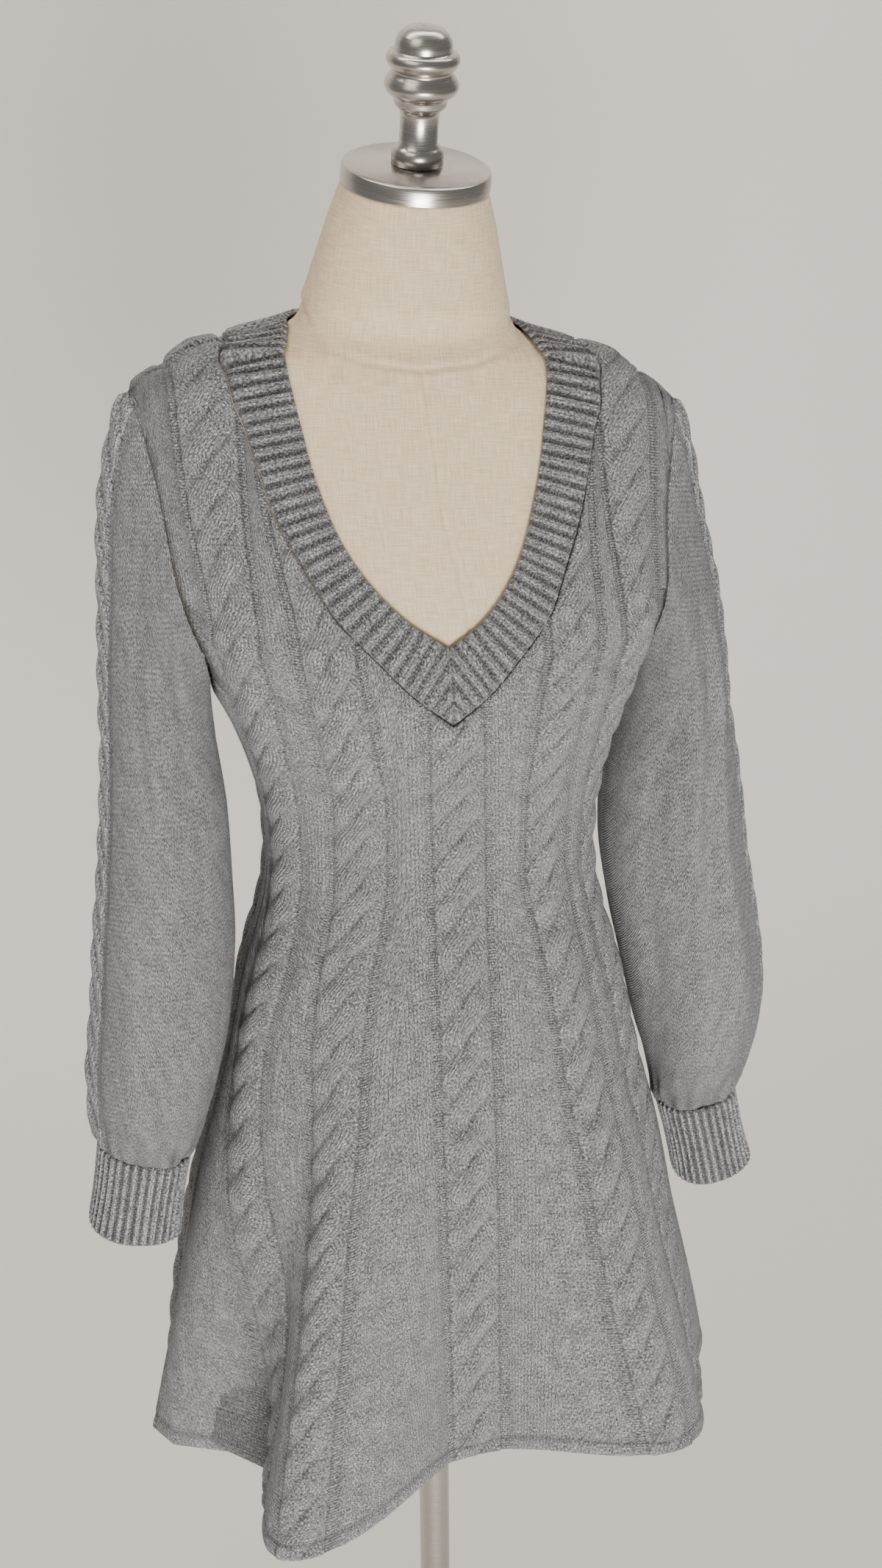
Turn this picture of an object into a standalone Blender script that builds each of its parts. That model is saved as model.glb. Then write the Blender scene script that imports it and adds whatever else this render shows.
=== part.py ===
"""Cable-knit sweater dress on a limbless dress form.

Metres, +Z up, the front faces -Y. The origin is the middle of the underside of the base plate.
Each cloth piece is a thin wall: its outer side carries cables, purl channels and ribs at real size,
its inner side is plain. Pieces are drawn on one body surface, given by level sections.
"""

from collections import namedtuple
from functools import lru_cache
from math import pi, radians, sin

import bmesh
import bpy
import numpy as np
from mathutils import Matrix, Vector
from mathutils.geometry import delaunay_2d_cdt

# ---------------------------------------------------------------- driving sizes
HEM_HEIGHT = 0.465
CLOTH = 0.0030  # plain knit wall
SEAM_GAP = 0.0003  # between two pieces that are sewn together
POLE_RADIUS = 0.0125
BASE_RADIUS = 0.165

# Cables: two strands that twist round each other, between two purl channels.
CABLE_PITCH = 0.0320  # one crossing to the next
STRAND_SWING = 0.0095  # sideways travel of a strand
STRAND_HALF = 0.0105
STRAND_HEIGHT = 0.0032
STRAND_LIFT = 0.0015  # extra height of the strand that passes in front
CHANNEL_HALF = 0.0240  # from the cable's middle to the far side of the purl channel
CHANNEL_EDGE = 0.0253
CHANNEL_DEPTH = 0.0012
SEWN_RELIEF = 0.0008  # what is left of the relief in a seam

# Points over a cable: offset from its middle line, and where along one crossing they lie.
CABLE_NET = (
    (0.0, (1 / 6, 1 / 2, 5 / 6)),
    (0.0090, (1 / 6, 1 / 2, 5 / 6)),
    (0.0175, (0, 1 / 2)),
)
STRAND_OFFSETS = (-0.0175, -0.0090, 0.0, 0.0090, 0.0175)
CHANNEL_FOOT = 0.0215  # on the floor of the purl channel, every second crossing
NET_STEP = 0.035  # height between rows of points on plain knit
NET_WIDTH = 0.056  # most between points along a row
NET_TURN = 0.75  # most that a row bends between points, in radians
FLARE = (0.10, 0.34)  # lengths above the hem between which the folds start, with rows closer
HEAD_LENGTH = 0.082  # stretch of a sleeve below its seam that bends most, with points twice as close

# Ribs
BAND_RIB_PITCH = 0.0080
CUFF_RIBS = 34
RIB_HEIGHT = 0.0014

# Level sections of the body surface (outside of the plain cloth), from hem to neck cap.
Section = namedtuple("Section", "height half_width front back")
BODY = (
    Section(0.465, 0.2140, 0.1500, 0.1650),
    Section(0.520, 0.2095, 0.1470, 0.1580),
    Section(0.600, 0.1985, 0.1430, 0.1500),
    Section(0.680, 0.1840, 0.1380, 0.1420),
    Section(0.760, 0.1630, 0.1300, 0.1320),
    Section(0.800, 0.1545, 0.1250, 0.1260),
    Section(0.840, 0.1460, 0.1180, 0.1180),
    Section(0.870, 0.1360, 0.1100, 0.1100),
    Section(0.900, 0.1285, 0.1020, 0.1030),
    Section(0.930, 0.1255, 0.0980, 0.0980),
    Section(0.960, 0.1270, 0.0990, 0.0960),
    Section(1.000, 0.1350, 0.1070, 0.0980),
    Section(1.040, 0.1480, 0.1200, 0.1020),
    Section(1.065, 0.1600, 0.1260, 0.1050),
    Section(1.100, 0.1760, 0.1310, 0.1070),
    Section(1.140, 0.1960, 0.1280, 0.1090),
    Section(1.180, 0.2050, 0.1170, 0.1090),
    Section(1.220, 0.2075, 0.1010, 0.1060),
    Section(1.260, 0.2060, 0.0850, 0.0990),
    Section(1.285, 0.2020, 0.0740, 0.0900),
    Section(1.301, 0.1810, 0.0680, 0.0840),
    Section(1.313, 0.1570, 0.0630, 0.0790),
    Section(1.322, 0.1340, 0.0590, 0.0750),
    Section(1.331, 0.1000, 0.0550, 0.0710),
    Section(1.337, 0.0860, 0.0530, 0.0670),
    Section(1.345, 0.0790, 0.0535, 0.0630),
    Section(1.357, 0.0745, 0.0540, 0.0605),
    Section(1.385, 0.0670, 0.0530, 0.0580),
    Section(1.410, 0.0605, 0.0520, 0.0560),
    Section(1.437, 0.0520, 0.0500, 0.0510),
)
SQUARENESS = 2.2  # power of the sections' rounded shape
UNDERARM = 1.065
SHOULDER_HEIGHT = 1.285  # outer end of the shoulder seam
SHOULDER_X = 0.202
NECK_OUTER_X = 0.1330
NECK_TOP = 1.3385

# Folds of the skirt: where they run down, how far they stand out at the hem, their spread to each side.
Fold = namedtuple("Fold", "angle depth spread_left spread_right start")
FOLDS = (
    Fold(-33, 0.137, 8.6, 12.0, 0.80),
    Fold(-72, 0.042, 9.0, 9.0, 0.74),
    Fold(44, 0.068, 13.0, 13.0, 0.80),
    Fold(86, 0.014, 10.0, 10.0, 0.62),
    Fold(122, 0.040, 11.0, 12.0, 0.76),
    Fold(163, 0.030, 12.0, 10.0, 0.70),
    Fold(-158, 0.036, 11.0, 12.0, 0.74),
    Fold(-121, 0.022, 11.0, 10.0, 0.76),
)

# Cables of a panel: distance along the cloth from the panel's middle to each cable, left and right.
Cables = namedtuple("Cables", "height middle flank_left flank_right outer_left outer_right")
FRONT_CABLES = (
    Cables(0.465, 0.005, 0.188, 0.163, 0.290, 0.262),
    Cables(0.520, 0.005, 0.167, 0.150, 0.262, 0.240),
    Cables(0.600, 0.005, 0.138, 0.131, 0.222, 0.215),
    Cables(0.680, 0.005, 0.1165, 0.120, 0.203, 0.197),
    Cables(0.760, 0.005, 0.099, 0.107, 0.190, 0.180),
    Cables(0.800, 0.005, 0.0955, 0.102, 0.180, 0.172),
    Cables(0.860, 0.005, 0.086, 0.0932, 0.158, 0.158),
    Cables(0.900, 0.006, 0.075, 0.086, 0.146, 0.149),
    Cables(0.940, 0.006, 0.0692, 0.0795, 0.140, 0.144),
    Cables(1.000, 0.004, 0.0695, 0.0795, 0.142, 0.147),
    Cables(1.040, 0.003, 0.076, 0.083, 0.150, 0.155),
    Cables(1.080, 0.002, 0.083, 0.0875, 0.154, 0.160),
    Cables(1.120, 0.001, 0.088, 0.098, 0.160, 0.168),
)
BACK_CABLES = (
    Cables(0.465, 0.000, 0.170, 0.170, 0.310, 0.310),
    Cables(0.600, 0.000, 0.140, 0.140, 0.240, 0.240),
    Cables(0.760, 0.000, 0.105, 0.105, 0.182, 0.182),
    Cables(0.930, 0.000, 0.0775, 0.0775, 0.140, 0.140),
    Cables(1.040, 0.000, 0.079, 0.079, 0.148, 0.148),
    Cables(1.120, 0.000, 0.086, 0.086, 0.160, 0.160),
)
YOKE_HEIGHT = 1.12  # above this the cables run straight to the shoulder
FLANK_TOP_X = 0.100
OUTER_TOP_X = 0.153

# A panel's own sideways coordinate: the same cable always lies at the same label.
FLANK_LABEL = 0.0775
OUTER_LABEL = 0.1450
EDGE_LABEL = 0.1850
CABLE_LABELS = (-OUTER_LABEL, -FLANK_LABEL, 0.0, FLANK_LABEL, OUTER_LABEL)

# Armhole edge of front and back, as an angle from the middle of the panel.
Armhole = namedtuple("Armhole", "height angle")
ARMHOLE = (
    Armhole(1.065, 90.0),
    Armhole(1.073, 82.0),
    Armhole(1.085, 76.0),
    Armhole(1.105, 72.8),
    Armhole(1.140, 71.8),
    Armhole(1.180, 72.6),
    Armhole(1.215, 75.0),
    Armhole(1.245, 78.8),
    Armhole(1.270, 82.8),
    Armhole(1.285, 90.0),
)

# Neckband edges: height of the inner and outer edge at each angle from the middle of the front.
Neck = namedtuple("Neck", "angle inner outer")
NECK = (
    Neck(0, 1.130, 1.069),
    Neck(11, 1.147, 1.090),
    Neck(22, 1.171, 1.118),
    Neck(33, 1.204, 1.148),
    Neck(42, 1.239, 1.182),
    Neck(51, 1.278, 1.215),
    Neck(58, 1.305, 1.248),
    Neck(65, 1.322, 1.281),
    Neck(74, 1.331, 1.309),
    Neck(90, 1.3365, 1.3225),
    Neck(120, 1.336, 1.317),
    Neck(150, 1.334, 1.303),
    Neck(180, 1.333, 1.296),
)

# Level sections of each sleeve below the underarm; distances from the form's middle plane.
Sleeve = namedtuple("Sleeve", "height middle half_width half_depth")
LEFT_SLEEVE = (
    Sleeve(1.030, 0.2008, 0.0408, 0.0560),
    Sleeve(0.980, 0.2013, 0.0458, 0.0600),
    Sleeve(0.920, 0.2030, 0.0495, 0.0640),
    Sleeve(0.860, 0.2063, 0.0528, 0.0670),
    Sleeve(0.800, 0.2123, 0.0523, 0.0680),
    Sleeve(0.760, 0.2195, 0.0495, 0.0650),
    Sleeve(0.725, 0.2250, 0.0440, 0.0570),
    Sleeve(0.700, 0.2290, 0.0390, 0.0450),
    Sleeve(0.688, 0.2310, 0.0350, 0.0385),
)
RIGHT_SLEEVE = (
    Sleeve(1.030, 0.1960, 0.0420, 0.0560),
    Sleeve(0.980, 0.1930, 0.0510, 0.0600),
    Sleeve(0.920, 0.1955, 0.0560, 0.0640),
    Sleeve(0.860, 0.2045, 0.0565, 0.0670),
    Sleeve(0.800, 0.2150, 0.0543, 0.0680),
    Sleeve(0.760, 0.2195, 0.0495, 0.0650),
    Sleeve(0.725, 0.2218, 0.0408, 0.0560),
    Sleeve(0.700, 0.2210, 0.0340, 0.0440),
    Sleeve(0.688, 0.2210, 0.0305, 0.0370),
)
HEAD_BEND = 0.5  # roundness of the sleeve head
CUFF_LENGTH = 0.070
LEFT_CUFF_LEAN = 0.012  # how far the cuff's lower end stands further out
RIGHT_CUFF_LEAN = 0.015
CUFF_TILT = 0.20  # the cuff's edges rise outwards
BAND_WIDTH = 0.034

# Leaning of the whole upper part, as it stands: sideways shift and the drop to one side.
Lean = namedtuple("Lean", "height shift drop")
LEAN = (
    Lean(0.980, 0.000, 0.000),
    Lean(1.120, -0.006, 0.040),
    Lean(1.220, -0.013, 0.070),
    Lean(1.330, -0.012, 0.070),
    Lean(1.450, -0.002, 0.070),
)

# Dress form: how far it lies inside the body surface.
Inset = namedtuple("Inset", "height depth")
INSET = (
    Inset(0.700, 0.0450),
    Inset(0.706, 0.0300),
    Inset(0.722, 0.0190),
    Inset(0.760, 0.0140),
    Inset(0.800, 0.0114),
    Inset(0.870, 0.0094),
    Inset(0.930, 0.0092),
    Inset(1.000, 0.0084),
    Inset(1.100, 0.0070),
    Inset(1.200, 0.0062),
    Inset(1.260, 0.0055),
    Inset(1.301, 0.0050),
    Inset(1.331, 0.0051),
    Inset(1.345, 0.0032),
    Inset(1.357, 0.0000),
    Inset(1.437, 0.0000),
)
FORM_HEIGHTS = (
    0.700, 0.706, 0.722, 0.760, 0.800, 0.860, 0.930, 1.000, 1.060, 1.110, 1.160, 1.210,
    1.250, 1.278, 1.296, 1.311, 1.322, 1.331, 1.339, 1.350, 1.380, 1.410, 1.4362,
)
FORM_STEPS = 24
NECK_TILT = 0.15  # forward slope of the neck's cut top

# Metal parts, as (radius, height) from the top down.
CAP_PROFILE = ((0, 0.0148), (0.0500, 0.0142), (0.0530, 0.0128), (0.0540, 0.0100), (0.0540, 0.0), (0, 0.0))
FINIAL_PROFILE = (
    (0, 0.0984), (0.0110, 0.0965), (0.0180, 0.0912), (0.0205, 0.0840), (0.0205, 0.0812),
    (0.0245, 0.0788), (0.0263, 0.0745), (0.0245, 0.0702), (0.0220, 0.0659), (0.0245, 0.0616),
    (0.0265, 0.0563), (0.0245, 0.0511), (0.0195, 0.0468), (0.0185, 0.0420), (0.0145, 0.0382),
    (0.0138, 0.0344), (0.0138, 0.0143), (0.0165, 0.0119), (0.0187, 0.0095), (0.0187, 0.0), (0, 0.0),
)
SOCKET_TOP = 0.060
SOCKET_FLOOR = 0.008
BASE_PROFILE = (
    (0, SOCKET_FLOOR), (POLE_RADIUS + SEAM_GAP, SOCKET_FLOOR), (POLE_RADIUS + SEAM_GAP, SOCKET_TOP),
    (0.0200, SOCKET_TOP), (0.0200, 0.0140), (0.0300, 0.0110), (BASE_RADIUS - 0.004, 0.0100),
    (BASE_RADIUS, 0.0070), (BASE_RADIUS, 0.0), (0, 0.0),
)

COLORS = {
    "wool": ((0.33, 0.33, 0.34, 1), 0.95, 0.0),
    "wool_rib": ((0.31, 0.31, 0.32, 1), 0.95, 0.0),
    "linen": ((0.78, 0.72, 0.62, 1), 0.9, 0.0),
    "steel": ((0.62, 0.61, 0.60, 1), 0.3, 1.0),
}


# ---------------------------------------------------------------- curves through the tables
def smooth_through(at, xs, ys):
    """Monotone cubic through a table, so that nothing bulges between two rows."""
    at = np.asarray(at, float)
    steps = np.diff(xs)
    slopes = np.diff(ys) / steps
    tangents = np.concatenate([slopes[:1], np.zeros(len(xs) - 2), slopes[-1:]])
    before, after = slopes[:-1], slopes[1:]
    same = before * after > 0
    tangents[1:-1][same] = 2 * before[same] * after[same] / (before + after)[same]
    at = np.clip(at, xs[0], xs[-1])
    k = np.clip(np.searchsorted(xs, at) - 1, 0, len(xs) - 2)
    t = (at - xs[k]) / steps[k]
    rise = t * t * (3 - 2 * t)
    lead = t * (1 - t) ** 2 * steps[k] * tangents[k]
    tail = t * t * (t - 1) * steps[k] * tangents[k + 1]
    return ys[k] * (1 - rise) + ys[k + 1] * rise + lead + tail


@lru_cache
def table_column(table, name, key):
    rows = sorted(table, key=lambda row: getattr(row, key))
    return np.array([getattr(row, key) for row in rows]), np.array([getattr(row, name) for row in rows])


def column(table, name, at, key="height"):
    return smooth_through(at, *table_column(table, name, key))


def smoothstep(t):
    t = np.clip(t, 0, 1)
    return t * t * (3 - 2 * t)


# ---------------------------------------------------------------- body surface
def fold_depth(angle, height):
    """How far the skirt's folds stand out from the plain section."""
    out = np.zeros(np.broadcast(angle, height).shape)
    for fold in FOLDS:
        away = (angle - radians(fold.angle) + pi) % (2 * pi) - pi
        spread = np.radians(np.where(away < 0, fold.spread_left, fold.spread_right))
        grown = np.clip((fold.start - height) / (fold.start - HEM_HEIGHT), 0, 1) ** 1.35
        out += fold.depth * grown * np.exp(-0.5 * (away / spread) ** 2)
    return out


def body_point(angle, height, folds=1.0):
    """A point of the body surface, at an angle from the front (-Y) towards +X."""
    angle = np.asarray(angle, float)
    height = np.asarray(height, float)
    half_width = column(BODY, "half_width", height)
    depth = np.where(np.cos(angle) > 0, column(BODY, "front", height), column(BODY, "back", height))
    across = np.abs(np.sin(angle)) / half_width
    along = np.abs(np.cos(angle)) / depth
    radius = (across**SQUARENESS + along**SQUARENESS) ** (-1 / SQUARENESS)
    radius = radius + folds * fold_depth(angle, height)
    shape = np.broadcast(angle, height).shape
    return np.stack(
        [radius * np.sin(angle), -radius * np.cos(angle), np.broadcast_to(height, shape)], axis=-1
    )


def body_normal(angle, height, folds=1.0):
    step = 1e-4
    around = body_point(angle + step, height, folds) - body_point(angle - step, height, folds)
    up = body_point(angle, height + step, folds) - body_point(angle, height - step, folds)
    normal = np.cross(around, up)
    return normal / np.linalg.norm(normal, axis=-1, keepdims=True)


def lean(points):
    """Moves points as the upper part leans: sideways, and lower on its +X side."""
    points = np.array(points, float).reshape(-1, 3)
    height = points[:, 2]
    shift = column(LEAN, "shift", height)
    drop = column(LEAN, "drop", height)
    points[:, 2] -= drop * points[:, 0]
    points[:, 0] += shift
    return points


# ---------------------------------------------------------------- knitted relief
def cable_relief(offset, crossings):
    """Height of a cable over plain knit, at an offset from its middle line."""
    offset = np.asarray(offset, float)
    highest = np.zeros(np.broadcast(offset, crossings).shape)
    for strand in (0, 1):
        turn = pi * (crossings + strand)
        side = -np.cos(turn)
        front = np.sin(turn)
        away = (offset - STRAND_SWING * side) / STRAND_HALF
        hump = np.sqrt(np.clip(1 - away * away, 0, None))
        highest = np.maximum(highest, hump * (STRAND_HEIGHT + STRAND_LIFT * front))
    channel = 1 - smoothstep((np.abs(offset) - CHANNEL_HALF) / (CHANNEL_EDGE - CHANNEL_HALF))
    return highest - CHANNEL_DEPTH * channel


# ---------------------------------------------------------------- closed walls
collection = bpy.data.collections.new("sweater_dress_on_form")


class Wall:
    """Collects the points and faces of one closed piece."""

    def __init__(self):
        self.points = []
        self.faces = []

    def add(self, points):
        first = len(self.points)
        self.points += [tuple(point) for point in points]
        return list(range(first, len(self.points)))

    def face(self, *corners):
        kept = [c for i, c in enumerate(corners) if c != corners[i - 1]]
        if len(set(kept)) > 2:
            self.faces.append(kept)

    def zip(self, a, a_at, b, b_at):
        """Faces between two rows of points that are placed by rising values."""
        i = j = 0
        while i < len(a) - 1 or j < len(b) - 1:
            more_a = i < len(a) - 1
            more_b = j < len(b) - 1
            if more_a and more_b and abs(a_at[i + 1] - b_at[j + 1]) < 1e-9:
                self.face(a[i], a[i + 1], b[j + 1], b[j])
                i += 1
                j += 1
            elif more_a and (not more_b or a_at[i + 1] < b_at[j + 1]):
                self.face(a[i], a[i + 1], b[j])
                i += 1
            else:
                self.face(a[i], b[j + 1], b[j])
                j += 1

    def zip_rings(self, a, a_at, b, b_at):
        """The same for two closed rings whose values run from 0 to less than 1."""
        self.zip(a + a[:1], list(a_at) + [1 + a_at[0]], b + b[:1], list(b_at) + [1 + b_at[0]])


def make_object(name, wall, material):
    mesh = bpy.data.meshes.new(name)
    mesh.from_pydata([tuple(point) for point in lean(wall.points)], [], wall.faces)
    shell = bmesh.new()
    shell.from_mesh(mesh)
    bmesh.ops.recalc_face_normals(shell, faces=shell.faces)
    bmesh.ops.triangulate(shell, faces=shell.faces)
    shell.to_mesh(mesh)
    shell.free()
    return place(bpy.data.objects.new(name, mesh), material)


def place(obj, material):
    collection.objects.link(obj)
    obj.data.materials.append(material_for(material))
    return obj


def material_for(name):
    if name in bpy.data.materials:
        return bpy.data.materials[name]
    color, roughness, metallic = COLORS[name]
    material = bpy.data.materials.new(name)
    material.use_nodes = True
    shader = material.node_tree.nodes["Principled BSDF"]
    shader.inputs["Base Color"].default_value = color
    shader.inputs["Roughness"].default_value = roughness
    shader.inputs["Metallic"].default_value = metallic
    material.diffuse_color = color
    return material


# ---------------------------------------------------------------- panels
class Panel:
    """Front or back. Its own coordinates are a label across and the cloth's length up from the hem."""

    def __init__(self, back, cables, middles):
        self.back = back
        self.cables = cables
        self.middles = middles
        self.turns = np.radians(np.linspace(-180, 180, 721))
        self.labels = np.linspace(-EDGE_LABEL, EDGE_LABEL, 149)
        points, arc = self.ring(YOKE_HEIGHT)
        line_labels, line_arcs = self.lines(YOKE_HEIGHT)
        rises = np.repeat([-OUTER_TOP_X, -FLANK_TOP_X, 0, FLANK_TOP_X, OUTER_TOP_X], 3)
        rises = rises + line_labels - np.repeat(CABLE_LABELS, 3)
        line_labels = [-EDGE_LABEL, *line_labels, EDGE_LABEL]
        line_x = [-SHOULDER_X, *np.interp(line_arcs, arc, points[:, 0]), SHOULDER_X]
        self.yoke_x = np.interp(self.labels, line_labels, line_x)
        self.top_x = np.interp(self.labels, line_labels, [-SHOULDER_X, *rises, SHOULDER_X])
        low = np.arange(HEM_HEIGHT, YOKE_HEIGHT, 0.006)
        rise = 1 - (1 - np.linspace(0, 1, 80)) ** 2.5
        tops = self.tops()
        self.heights = np.concatenate(
            [np.repeat(low[:, None], len(tops), axis=1), YOKE_HEIGHT + rise[:, None] * (tops - YOKE_HEIGHT)]
        )
        below = [self.skirt_offsets(height) for height in low]
        high = self.heights[len(low) :]
        above = self.offset_of_x(self.x_at(high), high)
        self.offsets = np.concatenate([below, above])
        self.points = body_point(self.angle(self.offsets), self.heights)
        steps = np.linalg.norm(np.diff(self.points, axis=0), axis=-1)
        self.lengths = np.concatenate([np.zeros((1, len(tops))), np.cumsum(steps, axis=0)])

    def angle(self, offset):
        """Angle from the front, for an offset angle from this panel's middle line."""
        return pi - offset if self.back else offset

    def lines(self, height):
        """Labels of the cables' middle lines and channel edges, and how far along the cloth they lie."""
        labels, arcs = [], []
        for sign, name, middle in (
            (-1, "outer_left", OUTER_LABEL),
            (-1, "flank_left", FLANK_LABEL),
            (1, "middle", 0.0),
            (1, "flank_right", FLANK_LABEL),
            (1, "outer_right", OUTER_LABEL),
        ):
            arc = sign * float(column(self.cables, name, height))
            for away in (-CHANNEL_EDGE, 0, CHANNEL_EDGE):
                labels.append(sign * middle + away)
                arcs.append(arc + away)
        return np.array(labels), np.array(arcs)

    def ring(self, height):
        points = body_point(self.angle(self.turns), height)
        arc = np.concatenate([[0], np.cumsum(np.hypot(*np.diff(points[:, :2], axis=0).T))])
        return points, arc - np.interp(0, self.turns, arc)

    def x_at(self, height):
        """Where the labels lie above the yoke: they run straight to their places on the shoulder."""
        risen = smoothstep((height - YOKE_HEIGHT) / (SHOULDER_HEIGHT - YOKE_HEIGHT))
        return self.yoke_x + (self.top_x - self.yoke_x) * risen

    def tops(self):
        """Height at which each label reaches the shoulder's ridge, or the neck."""
        fine = np.arange(SHOULDER_HEIGHT, NECK_TOP, 0.0001)
        return np.interp(-np.abs(self.top_x), -column(BODY, "half_width", fine), fine)

    def offset_of_x(self, x, height):
        """Offset angle of the surface point this far from the middle plane."""
        depth = column(BODY, "back" if self.back else "front", height)
        share = np.minimum(1, np.abs(x) / column(BODY, "half_width", height))
        return np.arctan2(x, depth * (1 - share**SQUARENESS) ** (1 / SQUARENESS))

    def skirt_offsets(self, height):
        """Offset angle of every label at a height below the yoke."""
        points, arc = self.ring(height)
        labels, arcs = self.lines(height)
        ends = np.interp([-pi / 2, pi / 2], self.turns, arc)
        labels = np.concatenate([[-EDGE_LABEL], labels, [EDGE_LABEL]])
        arcs = np.concatenate([ends[:1], arcs, ends[1:]])
        return np.interp(self.labels, labels, np.interp(arcs, arc, self.turns))

    def between(self, label, *tables):
        """The columns of these tables at this label."""
        place = (label + EDGE_LABEL) / (self.labels[1] - self.labels[0])
        k = int(np.clip(place, 0, len(self.labels) - 2))
        share = place - k
        return [table[:, k] * (1 - share) + table[:, k + 1] * share for table in tables]

    def where(self, label, length):
        """(offset angle, height) of a point of the panel."""
        lengths, offsets, heights = self.between(label, self.lengths, self.offsets, self.heights)
        return np.interp(length, lengths, offsets), np.interp(length, lengths, heights)

    def length_near(self, label, point):
        """Length up this label's line at which it passes closest to a point."""
        lengths, points = self.between(label, self.lengths, self.points)
        along = np.diff(points, axis=0)
        share = ((point - points[:-1]) * along).sum(1) / (along**2).sum(1)
        share = np.clip(share, 0, 1)
        away = np.linalg.norm(points[:-1] + along * share[:, None] - point, axis=1)
        k = int(np.argmin(away))
        return float(lengths[k] + share[k] * (lengths[k + 1] - lengths[k]))

    def label_of(self, offset, height):
        if height > YOKE_HEIGHT:
            x = body_point(self.angle(offset), height)[0]
            return float(np.interp(x, self.x_at(height), self.labels))
        return float(np.interp(offset, self.skirt_offsets(height), self.labels))

    def gaps(self):
        """The plain strips between the channels."""
        edges = [middle + side * CHANNEL_EDGE for middle in self.middles for side in (-1, 1)]
        edges = [-EDGE_LABEL, *edges, EDGE_LABEL]
        return list(zip(edges[::2], edges[1::2]))

    def relief(self, label, length):
        """Height of the cable nearest to this place, over plain knit."""
        middle = min(self.middles, key=lambda m: abs(label - m))
        return float(cable_relief(label - middle, length / CABLE_PITCH))

    def surface(self, labels, lengths, out):
        offsets, heights = np.array([self.where(u, v) for u, v in zip(labels, lengths)]).T
        angles = self.angle(offsets)
        return body_point(angles, heights) + body_normal(angles, heights) * np.reshape(out, (-1, 1))


def edge_heights(low, high, step):
    return np.linspace(low, high, max(2, round((high - low) / step) + 1))


def armhole_edge():
    """(offset angle, height) down one armhole edge, from the underarm to the shoulder."""
    heights = np.concatenate(
        [
            [UNDERARM, 1.069, 1.076, 1.086],
            edge_heights(1.10, 1.26, 0.016),
            [1.270, 1.278, 1.283, SHOULDER_HEIGHT],
        ]
    )
    return [(radians(float(column(ARMHOLE, "angle", height))), height) for height in heights]


def shoulder_edge():
    """(x, height) down the shoulder seam, from the armhole to the neckband."""
    fine = np.linspace(SHOULDER_HEIGHT, NECK_TOP, 400)
    widths = column(BODY, "half_width", fine)
    xs = np.linspace(SHOULDER_X, NECK_OUTER_X, 9)
    return [(x, float(np.interp(-x, -widths, fine))) for x in xs]


def neck_height(angle, name):
    turned = (np.asarray(angle) + pi) % (2 * pi) - pi
    return column(NECK, name, np.degrees(np.abs(turned)), key="angle")


def neck_edge(back, pieces):
    """Offset angles along the outer neck edge from -X to +X, evenly spaced by length."""
    angles = np.linspace(-pi / 2, pi / 2, 361)
    around = pi - angles if back else angles
    points = body_point(around, neck_height(around, "outer"))
    arc = np.concatenate([[0], np.cumsum(np.linalg.norm(np.diff(points, axis=0), axis=-1))])
    middle = np.interp(0, angles, arc)
    places = np.concatenate(
        [np.linspace(0, middle, pieces + 1), np.linspace(middle, arc[-1], pieces + 1)[1:]]
    )
    angles = np.interp(places, arc, angles)
    return list(zip(angles, neck_height(pi - angles if back else angles, "outer")))


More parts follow.
